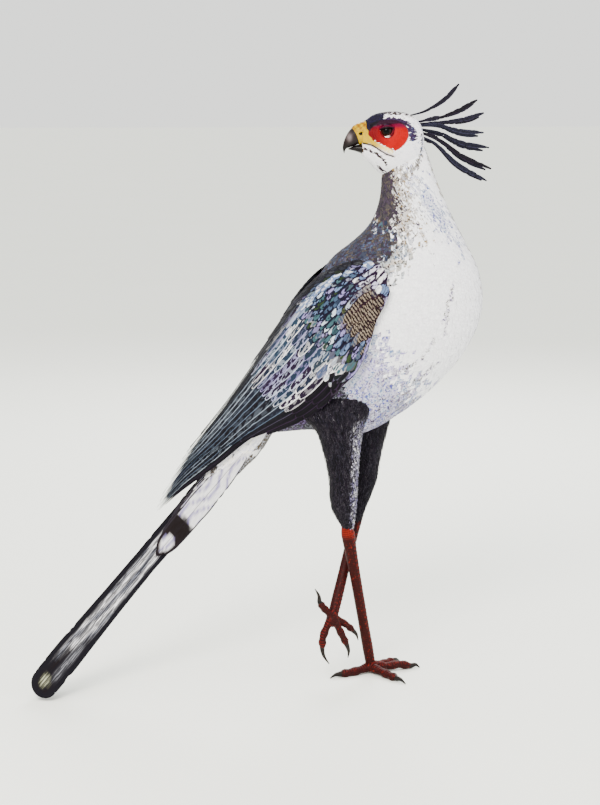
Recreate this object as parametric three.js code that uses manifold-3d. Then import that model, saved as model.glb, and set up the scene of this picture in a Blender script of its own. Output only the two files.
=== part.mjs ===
// A secretary bird, life size, standing on its right foot with the left one lifted
// and its head turned to look back along its tail.
// Millimetres. The breast points along +X, +Z is up and the bird's left is +Y. The origin is on the floor,
// under the pad of the standing foot.
import * as THREE from "three";
import { mergeVertices } from "three/addons/utils/BufferGeometryUtils.js";
import Module from "manifold-3d";

const wasm = await Module();
wasm.setup();

// Driving sizes
const GAP = 0.3; // between pieces that touch
const RIGHT = -1; // the side that carries the weight
const LEFT = 1;
const FLOOR = 0;
const FINENESS = 0.25; // slivers smaller than this are tidied away
const EYE_RADIUS = 11.5;
const LID_THICKNESS = 1.8;
const VANE_THICKNESS = 1.1;
const QUILL_THICKNESS = 1.7; // of a long feather, along its shaft
const TAIL_LENGTH = 680; // longest tail feather, from its root under the rump
const TAIL_SLOPE = 48.4; // degrees below the horizontal
const TAIL_SWING = 84; // how far the tail's tip leans to the bird's right
const TAIL_ROOF = 62; // degrees that each half of the folded tail hangs from the horizontal

const vec = (x, y, z) => new THREE.Vector3(x, y, z);
const mix = THREE.MathUtils.lerp;
const radians = THREE.MathUtils.degToRad;

// Repeatable draws, so that feathers vary as real ones do.
let seed = 7;
function vary(amount) {
  seed = (seed * 16807) % 2147483647;
  return amount * (2 * (seed / 2147483647) - 1);
}

// Values at equal steps, joined smoothly and read at a share from 0 to 1.
function profile(values) {
  const curve = new THREE.CatmullRomCurve3(values.map((value) => vec(value, 0, 0)));
  return (share) => curve.getPoint(share).x;
}

// Turns a closed three.js geometry into a solid whose faces point outwards.
function solid(geometry) {
  geometry.deleteAttribute("normal");
  geometry.deleteAttribute("uv");
  const merged = mergeVertices(geometry, 1e-3);
  const at = (i) => vec().fromBufferAttribute(merged.attributes.position, merged.index.array[i]);
  let volume = 0;
  for (let i = 0; i < merged.index.count; i += 3) volume += at(i).dot(at(i + 1).cross(at(i + 2)));
  const triVerts = new Uint32Array(merged.index.array);
  if (volume < 0) triVerts.reverse();
  return new wasm.Manifold(
    new wasm.Mesh({ numProp: 3, vertProperties: merged.attributes.position.array, triVerts }),
  );
}

// A closed tube whose skin is given by place(share along it, angle round it).
function wrapped(rings, sides, place) {
  const geometry = new THREE.CylinderGeometry(1, 1, 1, sides, rings, false);
  const position = geometry.attributes.position;
  for (let i = 0; i < position.count; i++) {
    const [x, y, z] = [position.getX(i), position.getY(i), position.getZ(i)];
    const share = 0.5 - y;
    const angle = Math.atan2(x, z);
    const point =
      Math.hypot(x, z) > 0.5 ? place(share, angle) : place(share, 0).add(place(share, Math.PI)).multiplyScalar(0.5);
    position.setXYZ(i, point.x, point.y, point.z);
  }
  return solid(geometry);
}

// A thin closed plate given by place(share along it, -1 to 1 across it, 0 under or 1 upper face).
// Both faces are split into triangles alike.
function plate(shares, across, place) {
  const points = [];
  const faces = [];
  const row = across + 1;
  const last = shares.length - 1;
  const index = (i, j, face) => (i * row + j) * 2 + face;
  for (const share of shares)
    for (let j = 0; j < row; j++) for (const face of [0, 1]) points.push(place(share, (2 * j) / across - 1, face));
  for (let i = 0; i < last; i++)
    for (let j = 0; j < across; j++)
      for (const face of [0, 1]) {
        const [a, b, c, d] = [index(i, j, face), index(i + 1, j, face), index(i + 1, j + 1, face), index(i, j + 1, face)];
        faces.push(...(face ? [a, b, c, a, c, d] : [a, c, b, a, d, c]));
      }
  const wall = (i, j, k, l) => {
    const [a0, a1, b0, b1] = [index(i, j, 0), index(i, j, 1), index(k, l, 0), index(k, l, 1)];
    faces.push(b1, a1, a0, b1, a0, b0);
  };
  for (let i = 0; i < last; i++) {
    wall(i, 0, i + 1, 0);
    wall(i + 1, across, i, across);
  }
  for (let j = 0; j < across; j++) {
    wall(0, j + 1, 0, j);
    wall(last, j, last, j + 1);
  }
  const geometry = new THREE.BufferGeometry().setFromPoints(points);
  geometry.setIndex(faces);
  return solid(geometry);
}

function ellipsoid(centre, radii, turn = [0, 0, 0], sides = 14, rings = 8) {
  const geometry = new THREE.SphereGeometry(1, sides, rings);
  geometry.applyMatrix4(
    new THREE.Matrix4().compose(
      centre,
      new THREE.Quaternion().setFromEuler(new THREE.Euler(...turn.map(radians))),
      vec(...radii),
    ),
  );
  return solid(geometry);
}

const joined = (solids) => wasm.Manifold.union(solids);

// The largest closed surface of a solid: fills hollows sealed by joining and drops loose scraps.
function largest(made) {
  const pieces = made.decompose().filter((piece) => piece.volume() > 0);
  const best = pieces.reduce((most, piece) => (piece.volume() > most.volume() ? piece : most));
  return best.simplify(FINENESS);
}

// Parts two solids at a plane: the first keeps the side that the normal points to.
function parted(kept, other, point, normal) {
  const n = normal.clone().normalize();
  const offset = n.dot(point);
  return [
    kept.trimByPlane(n.toArray(), offset + GAP / 2),
    other.trimByPlane(n.clone().negate().toArray(), GAP / 2 - offset),
  ];
}

// A form of oval sections. A station is [upper x, upper z, lower x, lower z, half width, middle y].
class Form {
  constructor(stations) {
    const curve = (points) => new THREE.CatmullRomCurve3(points);
    this.upper = curve(stations.map((s) => vec(s[0], s[5] ?? 0, s[1])));
    this.lower = curve(stations.map((s) => vec(s[2], s[5] ?? 0, s[3])));
    this.half = profile(stations.map((s) => s[4]));
  }
  // A point at an angle from the upper edge, raised from the skin along its normal.
  at(share, angle, raise = 0) {
    const upper = this.upper.getPoint(share);
    const lower = this.lower.getPoint(share);
    const height = upper.distanceTo(lower) / 2;
    const rise = upper.clone().sub(lower).normalize();
    const half = this.half(share);
    const normal = rise
      .clone()
      .multiplyScalar(Math.cos(angle) / height)
      .add(vec(0, Math.sin(angle) / half, 0))
      .normalize();
    return upper
      .add(lower)
      .multiplyScalar(0.5)
      .addScaledVector(rise, height * Math.cos(angle))
      .add(vec(0, half * Math.sin(angle), 0))
      .addScaledVector(normal, raise);
  }
  solid(rings, sides, from = 0, to = 1, raise = 0) {
    return wrapped(rings, sides, (share, angle) => this.at(mix(from, to, share), angle, raise));
  }
}

// A limb, toe or claw: a tube of oval section along a smooth line.
// widths run across the line and the side direction, heights at right angles to them.
function limb(points, widths, heights, side, rings, sides) {
  const line = new THREE.CatmullRomCurve3(points);
  const width = profile(widths);
  const height = profile(heights);
  return wrapped(rings, sides, (share, angle) => {
    const tangent = line.getTangent(share);
    const across = side.clone().addScaledVector(tangent, -side.dot(tangent)).normalize();
    const rise = across.clone().cross(tangent);
    return line
      .getPoint(share)
      .addScaledVector(across, width(share) * Math.cos(angle))
      .addScaledVector(rise, height(share) * Math.sin(angle));
  });
}

// Trunk and neck: from the rump, forwards to the breast and up to the back of the head.
// The upper edge is the back and hindneck, the lower edge the belly, breast and foreneck.
const trunk = new Form([
  [-262, 548, -214, 510, 34],
  [-214, 655, -140, 514, 60],
  [-169, 748, -44, 504, 80],
  [-128, 815, 40, 545, 90],
  [-95, 859, 124, 614, 94],
  [-57, 889, 181, 690, 92],
  [-30, 914, 203, 760, 86],
  [-12, 943, 195, 828, 73],
  [-4, 970, 168, 885, 59],
  [-1, 995, 139, 940, 47],
  [0, 1016, 113, 996, 37],
  [3, 1036, 94, 1046, 29],
  [16, 1056, 82, 1080, 20],
]);
const NECK_BASE = 8.6 / 12; // share along the trunk where the neck begins
const NECK_TOP = 1;

// The outside of the two folded wings together, from the wrists to the wing tips over the tail.
const wingHull = new Form([
  [-28, 926, 190, 690, 106],
  [-78, 880, 140, 610, 110],
  [-126, 834, 55, 535, 109],
  [-169, 780, -40, 490, 101],
  [-214, 714, -125, 488, 87],
  [-262, 646, -190, 486, 71],
  [-312, 577, -250, 470, 57],
  [-362, 514, -310, 425, 45],
  [-412, 452, -370, 375, 35],
  [-458, 376, -428, 330, 25],
]);
const HULL_STATIONS = 9;
// The wing's upper and lower edges: angles from the hull's upper edge, at each half station from 0.5.
const WING_START = 0.5;
const wingTop = profile([44, 33, 23, 15, 10, 6, 4, 3, 3, 3, 3, 3.5, 4, 4, 5, 6, 8, 10]);
const wingLow = profile([65, 72, 77, 87, 95, 99, 107, 115, 121, 124, 126, 127, 127, 124, 117, 108, 98, 86]);

// A point of a folded wing: station along the hull, share from its lower edge up, and raise.
function onWing(side, station, share, raise) {
  const along = (station - WING_START) / (HULL_STATIONS - WING_START);
  const angle = radians(mix(wingLow(along), wingTop(along), share));
  const point = wingHull.at(station / HULL_STATIONS, angle, raise);
  point.y = side * Math.max(point.y, GAP + 0.4);
  return point;
}

// Fleshy part of a wing, from the wrist back to the roots of the flight feathers.
function wingArm(side) {
  const end = 4.4;
  const outer = profile([-5, 0, 0.5, 0.5, -1, -3.5, -6, -9.5, -12]);
  const depth = profile([5, 16, 26, 28, 28, 24, 18, 9, 2.5]);
  const wrist = 0.62;
  const shares = [0, 0.06, 0.16, 0.3, 0.5, 0.75, 1];
  return plate(shares, 6, (along, v, face) => {
    const rounding = 1 - Math.abs(v) ** 5;
    const raise = mix(-6, outer(along), rounding);
    const thickness = mix(2, depth(along), rounding);
    const front = wrist + 0.4 * Math.abs(v) ** 3;
    return onWing(side, mix(front, end, along), 0.5 + 0.5 * v, raise - (face ? 0 : thickness));
  });
}

// Rows of overlapping feathers on a wing, inner rows first. Stations run back along the hull, shares from the
// wing's lower edge up, and raises out from the hull. tips gives the station of each tip, from low to high.
const WING_ROWS = [
  { name: "primaries", count: 7, root: 3.5, tips: [7.6, 8.3, 8.8, 9, 8.9, 8.5, 8], from: [0.15, 0.75], to: [0.12, 0.78], raise: -9.5, lap: 1.5 },
  { name: "secondaries", count: 8, root: 3.3, tips: [5.4, 6.1, 6.7, 7.2, 7.6, 7.9, 7.7, 7], from: [0, 1], to: [0, 1], raise: -6, lap: 1.35 },
  { name: "greater coverts", count: 8, root: 2.7, tips: [4.3, 4.5, 4.8, 5, 5.1, 5.1, 5, 4.8], from: [0, 1], to: [0, 1], raise: -2.5, lap: 1.3 },
  { name: "median coverts", count: 6, root: 1.9, tips: [3.2, 3.4, 3.6, 3.7, 3.7, 3.6], from: [0, 1], to: [0, 1], raise: 1, lap: 1.3 },
];
const LAP_TILT = 1; // how far a feather's lower edge stands out over the next one's upper edge
const vaneShape = profile([0.5, 0.8, 0.95, 1, 1, 0.98, 0.9, 0.35]);
const VANE_SHARES = [0, 0.3, 0.7, 0.93, 1];

function wingFeather(side, row, i) {
  const place = (i + 0.5) / row.count;
  const tip = row.tips[i] + vary(0.06);
  const half = ((row.to[1] - row.to[0]) / row.count / 2) * row.lap;
  return plate(VANE_SHARES, 1, (u, v, face) => {
    const middle = mix(mix(...row.from, place), mix(...row.to, place), u);
    const share = middle + v * half * vaneShape(u);
    const sunk = -5 * (1 - Math.min(1, u / 0.3));
    const raise = row.raise + sunk - LAP_TILT * v - (face ? 0 : VANE_THICKNESS);
    return onWing(side, mix(row.root, tip, u), THREE.MathUtils.clamp(share, 0, 1), raise);
  });
}

function wing(side, body) {
  const feathers = WING_ROWS.flatMap((row) =>
    Array.from({ length: row.count }, (_, i) => wingFeather(side, row, i)),
  );
  return largest(joined([wingArm(side), ...feathers]).subtract(body));
}

// Tail: the coverts over its root, then nested pairs of feathers that hang like a steep roof.
const tailCoverts = new Form([
  [-262, 548, -214, 510, 32, 0],
  [-302, 502, -250, 464, 27, -1],
  [-337, 456, -288, 428, 21, -4],
  [-362, 416, -318, 396, 16, -8],
  [-386, 378, -347, 360, 11, -12],
  [-404, 346, -380, 328, 5, -16],
]);
const TAIL_ROOT = vec(-243, 0, 521);
const tailRun = radians(TAIL_SLOPE);
const tailAlong = vec(-Math.cos(tailRun), 0, -Math.sin(tailRun));
const tailDown = vec(Math.sin(tailRun), 0, -Math.cos(tailRun)); // square to the tail, towards its underside
const tailLine = (distance) =>
  TAIL_ROOT.clone()
    .addScaledVector(tailAlong, distance)
    .add(vec(0, -TAIL_SWING * (distance / TAIL_LENGTH) ** 1.5, 0));
// Pairs from the long middle one to the outermost: length, full width and how far it lies under the one above.
const TAIL_PAIRS = [
  { length: TAIL_LENGTH, width: 62, under: 0 },
  { length: 322, width: 50, under: 6 },
  { length: 306, width: 48, under: 11 },
  { length: 286, width: 46, under: 16 },
  { length: 262, width: 44, under: 21 },
];
const TAIL_CREST = 28; // height of the ridge of the folded tail over its line
const longShape = profile([0.5, 0.72, 0.78, 0.8, 0.8, 0.84, 0.92, 1, 0.6]);
const LONG_SHARES = [0, 0.3, 0.6, 0.8, 0.92, 0.98, 1];

function tailFeather(pair, side) {
  const roof = radians(TAIL_ROOF);
  const across = tailDown.clone().multiplyScalar(Math.sin(roof)).add(vec(0, side * Math.cos(roof), 0));
  const outward = tailDown.clone().multiplyScalar(-Math.cos(roof)).add(vec(0, side * Math.sin(roof), 0));
  const length = pair.length - (side === LEFT ? 14 : 0);
  return plate(pair.under ? VANE_SHARES : LONG_SHARES, 2, (u, v, face) => {
    const width = (pair.width / 2) * longShape(u);
    const thickness = v === 0 ? QUILL_THICKNESS : VANE_THICKNESS;
    return tailLine(mix(60, length, u))
      .addScaledVector(tailDown, pair.under - TAIL_CREST)
      .add(vec(0, side * 0.9, 0))
      .addScaledVector(across, pair.width / 2 + v * width)
      .addScaledVector(outward, (face ? thickness : 0) + 1.5 * (1 - v * v));
  });
}

function tail() {
  const feathers = TAIL_PAIRS.flatMap((pair) => [RIGHT, LEFT].map((side) => tailFeather(pair, side)));
  return largest(joined([tailCoverts.solid(9, 16), ...feathers]).trimByPlane([0, 0, 1], FLOOR));
}

// Legs: feathered thigh, bare scaled shank, and a foot of three front toes and a hind toe.
const thighForms = {
  right: new Form([
    [-20, 606, -158, 592, 26, -46],
    [-26, 566, -165, 556, 36, -50],
    [-42, 522, -134, 518, 37, -49],
    [-48, 470, -117, 466, 33, -46],
    [-51, 420, -107, 416, 28, -42],
    [-52, 386, -105, 382, 24.5, -38],
    [-53, 362, -101, 358, 21.5, -36],
    [-55, 341, -91, 338, 17, -33.5],
    [-57, 323, -81, 321, 12, -31.5],
    [-59, 311, -77, 310, 9.5, -30],
  ]),
  left: new Form([
    [52, 600, -80, 590, 28, 46],
    [36, 556, -76, 548, 36, 49],
    [24, 510, -62, 500, 36, 50],
    [9, 450, -54, 444, 31, 49],
    [0, 398, -52, 392, 25, 47],
    [-12, 366, -52, 360, 20, 44],
    [-22, 342, -52, 336, 15.5, 41],
    [-30, 322, -52, 318, 11.5, 38],
    [-33, 310, -51, 308, 9, 36.5],
  ]),
};
const shankWidths = [9.5, 13, 11.2, 10.2, 10, 10, 10.2, 11, 12];
const shankDepths = [9.5, 13.5, 12, 11, 10.6, 10.4, 10.4, 10.8, 10];
const legs = {
  right: {
    hock: vec(-68, -30, 302),
    joint: vec(-16, 0, 20),
    cut: vec(-68, -30, 311),
    pad: { centre: vec(-4, 0, 12), radii: [22, 13, 13.5] },
  },
  left: {
    hock: vec(-27, 58, 360),
    joint: vec(-100, -40, 134),
    cut: vec(-43, 36, 309),
    pad: { centre: vec(-100, -40, 127), radii: [13.5, 13.5, 14.5] },
  },
};

function shank(leg) {
  const top = leg.hock.clone().add(leg.hock.clone().sub(leg.joint).setLength(22));
  const points = [top, leg.hock];
  for (let i = 1; i <= 7; i++) points.push(leg.hock.clone().lerp(leg.joint, i / 7));
  return limb(points, shankWidths, shankDepths, vec(0, 1, 0), 14, 10);
}

// Each toe: points from the foot's hub to the root of the claw, then the claw's tip and its bend.
const standingToes = {
  middle: {
    points: [[-16, 0, 13], [18, 5, 10.5], [46, 10, 11.5], [68, 14, 7]],
    claw: [[81, 15.5, 8], [90, 16.5, 1.4]],
    radius: 10.5,
  },
  inner: {
    points: [[-16, 4, 13], [8, 22, 9.5], [26, 39, 7], [38, 50, 6.8]],
    claw: [[47, 58, 6.5], [55, 65, 1.4]],
    radius: 10,
  },
  outer: {
    points: [[-16, -4, 13], [3, -26, 9.5], [18, -47, 7.2], [28, -61, 7]],
    claw: [[36, -72, 6.8], [44, -83, 1.4]],
    radius: 10.4,
  },
  hind: {
    points: [[-16, 0, 13], [-38, -10, 9.5], [-62, -19, 7.4], [-80, -25, 7.2]],
    claw: [[-92, -29, 7], [-104, -33, 1.6]],
    radius: 10.6,
  },
};
const liftedToes = {
  middle: {
    points: [[-100, -40, 134], [-88, -38, 110], [-78, -36, 89], [-71, -35, 74]],
    claw: [[-66, -34, 59], [-67, -33, 44]],
    radius: 9.8,
  },
  inner: {
    points: [[-100, -40, 134], [-84, -33, 123], [-67, -26, 109], [-57, -22, 99]],
    claw: [[-48, -18, 88], [-44, -16, 75]],
    radius: 9.2,
  },
  outer: {
    points: [[-100, -40, 134], [-113, -46, 113], [-121, -50, 92], [-122, -51, 74]],
    claw: [[-119, -51.5, 56], [-108, -51, 38]],
    radius: 9.8,
  },
  hind: {
    points: [[-100, -40, 134], [-111, -43, 146], [-121, -46, 157], [-126, -47, 166]],
    claw: [[-129, -48, 181], [-137, -49, 196]],
    radius: 9.6,
  },
};
const toeShape = [1, 0.98, 0.8, 0.95, 0.78, 0.92, 0.6];
const clawShape = [0.52, 0.46, 0.3, 0.08];

function toe(data, grown) {
  const points = data.points.map((p) => vec(...p));
  const sizes = toeShape.map((size) => size * data.radius + grown);
  return limb(points, sizes, sizes, sideOf(points), 8, 8);
}

// The direction level with the floor and square to a toe.
function sideOf(points) {
  const run = points[points.length - 1].clone().sub(points[0]);
  return vec(run.y, -run.x, 0).normalize();
}

function claw(data) {
  const toePoints = data.points.map((p) => vec(...p));
  const end = toePoints[toePoints.length - 1];
  const out = new THREE.CatmullRomCurve3(toePoints).getTangent(1);
  const start = end.clone().addScaledVector(out, GAP);
  const lead = start.clone().addScaledVector(out, 3);
  const sizes = clawShape.map((size) => size * data.radius);
  const [bend, tip] = data.claw.map((p) => vec(...p));
  return limb([start, lead, bend, tip], sizes, sizes, sideOf(toePoints), 5, 7);
}

function foot(toes, pad, grown = 0) {
  const radii = pad.radii.map((radius) => radius + grown);
  const hub = ellipsoid(pad.centre, radii, [0, 0, 0], 12, 8);
  return joined([hub, ...Object.values(toes).map((data) => toe(data, grown))]);
}

// Head, looking along -X.
const skull = new Form([
  [80, 1100, 82, 1084, 7],
  [73, 1121, 80, 1054, 21],
  [52, 1137, 60, 1024, 30],
  [27, 1142, 30, 1015, 34],
  [2, 1141, 2, 1020, 33.5],
  [-18, 1136, -17, 1034, 28.5],
  [-33, 1126, -31, 1049, 22],
  [-42, 1121, -40, 1056, 17.5],
]);
const SKULL_FACETS = [12, 18]; // rings and sides
const BILL_BASE = -38;
const upperBill = new Form([
  [-34, 1124, -33, 1078, 19],
  [-44, 1120.5, -42, 1076.5, 16.5],
  [-55, 1115.5, -50, 1075, 14],
  [-66, 1104.5, -58, 1074, 11],
  [-73.5, 1091, -65.5, 1072.5, 7.6],
  [-77.3, 1079, -70.8, 1070.5, 4.8],
  [-77.8, 1070, -73.6, 1065.5, 2.6],
  [-75.4, 1061.5, -74.7, 1060.8, 0.7],
]);
const lowerBill = new Form([
  [-34, 1076.6, -33, 1057, 16],
  [-44, 1075, -43, 1061, 12.5],
  [-54, 1073.6, -53, 1064.5, 9],
  [-61, 1072.2, -60.5, 1067, 5.6],
  [-67, 1070, -67, 1068.2, 1.6],
]);
const EYE = vec(5, 24, 1105);
const eyeOut = vec(-0.22, 0.97, 0.05).normalize();
const GAPE = [vec(-40, 0, 1075), vec(-20, 0, 1066), vec(-3, 0, 1054)]; // line of the mouth back along the cheek

const mirrored = (point, side) => vec(point.x, side * point.y, point.z);

// Crest feathers from the uppermost down: [x, z] at the root, twice along the shaft, and at the tip.
const CREST = [
  [[52, 1134], [84, 1143], [123, 1166], [150, 1194]],
  [[60, 1120], [112, 1130], [152, 1144], [186, 1162]],
  [[62, 1118], [118, 1121], [160, 1125], [199, 1136]],
  [[64, 1114], [112, 1114], [152, 1102], [199, 1097]],
  [[66, 1110], [112, 1100], [156, 1079], [210, 1068]],
  [[68, 1104], [112, 1087], [158, 1054], [216, 1028]],
  [[66, 1098], [104, 1080], [148, 1039], [208, 1005]],
];
const CREST_SHARES = [0, 0.3, 0.55, 0.8, 0.95, 1];
const crestShape = profile([1.2, 1.5, 2.2, 3.4, 4.5, 4.7, 1.9]);

function crestFeather(shaft, pair, side) {
  const share = pair / (CREST.length - 1);
  const splay = side * (5 + 15 * Math.sin(Math.PI * share) + vary(3));
  const shorter = side === LEFT ? 0.96 : 1;
  const line = new THREE.CatmullRomCurve3(
    shaft.map(([x, z], i) => {
      const y = (i / 3) * splay + side * (3 + 4 * share);
      return vec(x + 0.1 * y, y, z - 0.17 * y);
    }),
  );
  return plate(CREST_SHARES, 1, (u, v, face) => {
    const along = line.getTangent(u * shorter);
    const across = vec(-along.z, 0, along.x).normalize();
    return line
      .getPoint(u * shorter)
      .addScaledVector(across, v * crestShape(u))
      .add(vec(0, face ? 0.6 : -0.6, 0));
  });
}

function headSolids() {
  const cuts = [];
  const adds = [skull.solid(...SKULL_FACETS)];
  const eyes = {};
  for (const [name, side] of [["right", LEFT], ["left", RIGHT]]) {
    const centre = mirrored(EYE, side);
    const out = mirrored(eyeOut, side);
    const lidRadius = EYE_RADIUS + LID_THICKNESS;
    adds.push(ellipsoid(centre, [lidRadius, lidRadius, lidRadius]));
    adds.push(ellipsoid(vec(2, side * 26, 1118), [22, 9, 5.5], [0, side * 4, side * 8], 12, 8));
    const socket = EYE_RADIUS + GAP;
    cuts.push(ellipsoid(centre, [socket, socket, socket]));
    cuts.push(ellipsoid(centre.clone().addScaledVector(out, EYE_RADIUS + 1), [10.5, 7, 7.5], [0, 8, 0], 14, 8));
    eyes[name] = ellipsoid(centre, [EYE_RADIUS, EYE_RADIUS, EYE_RADIUS]);
    const lips = GAPE.map((p) => vec(p.x, side * 28, p.z));
    cuts.push(limb(lips, [14, 14, 6], [0.9, 0.9, 0.3], vec(0, 1, 0), 4, 4));
  }
  for (const [pair, shaft] of CREST.entries())
    for (const side of [RIGHT, LEFT]) adds.push(crestFeather(shaft, pair, side));
  const head = largest(joined(adds).subtract(joined(cuts)).trimByPlane([1, 0, 0], BILL_BASE + GAP));
  const nostrils = joined(
    [RIGHT, LEFT].map((side) => ellipsoid(vec(-52, side * 13.5, 1099), [4.6, 3.4, 2.4], [0, 20, 0], 12, 8)),
  );
  const upper = largest(upperBill.solid(14, 14).subtract(nostrils).trimByPlane([-1, 0, 0], -BILL_BASE));
  const lower = largest(lowerBill.solid(8, 12).trimByPlane([-1, 0, 0], -BILL_BASE));
  return { head, upper, lower, eyes };
}

// Everything is cut to meet face to face, then painted and named.
const TORSO_END = NECK_BASE + 0.06;
const TORSO_FACETS = [24, 22];
const trunkGrown = trunk.solid(...TORSO_FACETS, 0, TORSO_END, GAP);
const { head, upper, lower, eyes } = headSolids();
const neckPoint = trunk.at(NECK_BASE, 0);
const neckNormal = trunk
  .at(NECK_BASE, Math.PI)
  .sub(neckPoint)
  .cross(vec(0, 1, 0))
  .normalize();
const [neckWhole, torso] = parted(
  trunk.solid(14, 22, NECK_BASE - 0.06, NECK_TOP),
  trunk.solid(...TORSO_FACETS, 0, TORSO_END),
  neckPoint,
  neckNormal,
);
const headGrown = skull.solid(...SKULL_FACETS, 0, 1, GAP);
const neck = largest(neckWhole.subtract(headGrown));
const rumpPoint = vec(-262, 0, 548);
const rumpNormal = vec(48, 0, 50);
const [torsoCut, tailCut] = parted(torso, tail(), rumpPoint, rumpNormal);

const hip = { right: trunkGrown, left: trunkGrown };
const pieces = new Map();
pieces.set("head", [head, "white"]);
pieces.set("bill_upper", [upper, "horn"]);
pieces.set("bill_lower", [lower, "horn"]);
pieces.set("eye_left", [eyes.left, "eye"]);
pieces.set("eye_right", [eyes.right, "eye"]);
pieces.set("neck", [neck, "white"]);
pieces.set("torso", [largest(torsoCut), "white"]);
pieces.set("tail", [largest(tailCut), "tail"]);
for (const [name, side, toes] of [["right", RIGHT, standingToes], ["left", LEFT, liftedToes]]) {
  const leg = legs[name];
  pieces.set("wing_" + name, [wing(side, trunkGrown), "wing"]);
  const [thighCut, shankTop] = parted(
    thighForms[name].solid(16, 16).subtract(hip[name]),
    shank(leg),
    leg.cut,
    vec(0, 0, 1),
  );
  const shankCut = shankTop.subtract(foot(toes, leg.pad, GAP));
  const footCut = foot(toes, leg.pad).trimByPlane([0, 0, 1], FLOOR);
  pieces.set("thigh_" + name, [largest(thighCut), "trousers"]);
  pieces.set("shank_" + name, [largest(shankCut), "scales"]);
  pieces.set("foot_" + name, [largest(footCut), "scales"]);
  for (const [toeName, data] of Object.entries(toes))
    pieces.set("claw_" + name + "_" + toeName, [claw(data), "claw"]);
}

// Finishes
const finishes = {
  white: new THREE.MeshStandardMaterial({ color: 0xf2f0f4, roughness: 0.85, metalness: 0 }),
  wing: new THREE.MeshStandardMaterial({ color: 0x39414f, roughness: 0.8, metalness: 0 }),
  tail: new THREE.MeshStandardMaterial({ color: 0x8b8d96, roughness: 0.8, metalness: 0 }),
  trousers: new THREE.MeshStandardMaterial({ color: 0x1c171f, roughness: 0.85, metalness: 0 }),
  scales: new THREE.MeshStandardMaterial({ color: 0x6e2018, roughness: 0.6, metalness: 0 }),
  claw: new THREE.MeshStandardMaterial({ color: 0x1d1614, roughness: 0.4, metalness: 0 }),
  horn: new THREE.MeshStandardMaterial({ color: 0x4a3a33, roughness: 0.4, metalness: 0 }),
  eye: new THREE.MeshStandardMaterial({ color: 0x140c0a, roughness: 0.1, metalness: 0 }),
};

const bird = new THREE.Group();
for (const [name, [made, finish]] of pieces) {
  const { vertProperties, triVerts } = made.getMesh();
  const geometry = new THREE.BufferGeometry();
  geometry.setAttribute("position", new THREE.BufferAttribute(new Float32Array(vertProperties), 3));
  geometry.setIndex(new THREE.BufferAttribute(new Uint32Array(triVerts), 1));
  geometry.computeVertexNormals();
  const mesh = new THREE.Mesh(geometry, finishes[finish]);
  mesh.name = name;
  bird.add(mesh);
}

export default bird;
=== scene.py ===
"""Dresses a packed secretary bird: plumage feather by feather, bare face, horn, scaled legs and a studio.

Sizes are in millimetres unless a name says otherwise, and turn to metres when a mesh is made.
The breast points along +X, the bird's left is +Y, +Z is up and the origin is under the standing foot.
"""

from __future__ import annotations

import logging
import math
from dataclasses import dataclass, field
from enum import Enum

import bpy
import numpy as np
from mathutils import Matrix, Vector
from mathutils.bvhtree import BVHTree

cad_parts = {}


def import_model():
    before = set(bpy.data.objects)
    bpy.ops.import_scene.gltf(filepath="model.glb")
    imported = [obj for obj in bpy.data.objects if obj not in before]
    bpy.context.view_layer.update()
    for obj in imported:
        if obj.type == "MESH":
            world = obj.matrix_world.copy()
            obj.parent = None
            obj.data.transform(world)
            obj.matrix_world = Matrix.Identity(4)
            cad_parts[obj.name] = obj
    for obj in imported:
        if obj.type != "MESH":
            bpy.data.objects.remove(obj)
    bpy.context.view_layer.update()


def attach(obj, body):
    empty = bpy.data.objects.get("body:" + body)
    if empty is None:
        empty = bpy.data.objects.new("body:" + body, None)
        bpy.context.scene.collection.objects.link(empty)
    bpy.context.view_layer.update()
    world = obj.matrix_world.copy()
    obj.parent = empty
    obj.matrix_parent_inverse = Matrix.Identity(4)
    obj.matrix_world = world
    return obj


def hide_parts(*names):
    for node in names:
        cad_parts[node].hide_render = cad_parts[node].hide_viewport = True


LOG = logging.getLogger("secretary_bird")
MM = 0.001
TURN = 2 * math.pi
Array = np.ndarray
Rng = np.random.Generator
Piece = bpy.types.Object
Material = bpy.types.Material
Socket = bpy.types.NodeSocket


class Side(Enum):
    """Side of the bird's body, as the sign of Y."""

    RIGHT = -1
    LEFT = 1

    @property
    def word(self) -> str:
        """The side's name in lower case."""
        return self.name.lower()


class Tint(str, Enum):
    """Colours of the bird, as sRGB hex values."""

    SNOW = "#f3f1f5"
    CREAM = "#efe6cf"
    PEARL = "#d9d6e4"
    LAVENDER = "#8a80b4"
    VIOLET = "#4a4c94"
    HEATHER = "#66587f"
    STEEL = "#657aa0"
    SLATE = "#3c4f68"
    TEAL = "#38585f"
    FROST = "#c6d3e2"
    NAVY = "#1f2436"
    INK = "#100e15"
    PLUM = "#2c1e32"
    MANTLE = "#262229"
    OLIVE = "#615d3b"
    UMBER = "#4a4138"
    TAN = "#937c58"
    SHADOW = "#a9aca3"
    DOVE = "#9c9da6"
    ASH = "#6b6d78"
    OCHRE = "#7d6637"
    MOSS = "#26371c"

    @property
    def rgb(self) -> Array:
        """The colour in linear light."""
        return linear(self.value)


def linear(code: str) -> Array:
    """Turns an sRGB hex value to linear red, green and blue from 0 to 1."""
    channel = np.array([int(code[i : i + 2], 16) for i in (1, 3, 5)]) / 255
    return np.where(channel <= 0.04045, channel / 12.92, ((channel + 0.055) / 1.055) ** 2.4)


def rgba(code: str) -> tuple[float, ...]:
    """Gives a hex value as a socket's colour."""
    return (*linear(code), 1.0)


def smooth(low: float, high: float, value: Array) -> Array:
    """Rises smoothly from 0 at low to 1 at high, which may be under low."""
    t = np.clip((np.asarray(value, float) - low) / (high - low), 0, 1)
    return t * t * (3 - 2 * t)


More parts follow.
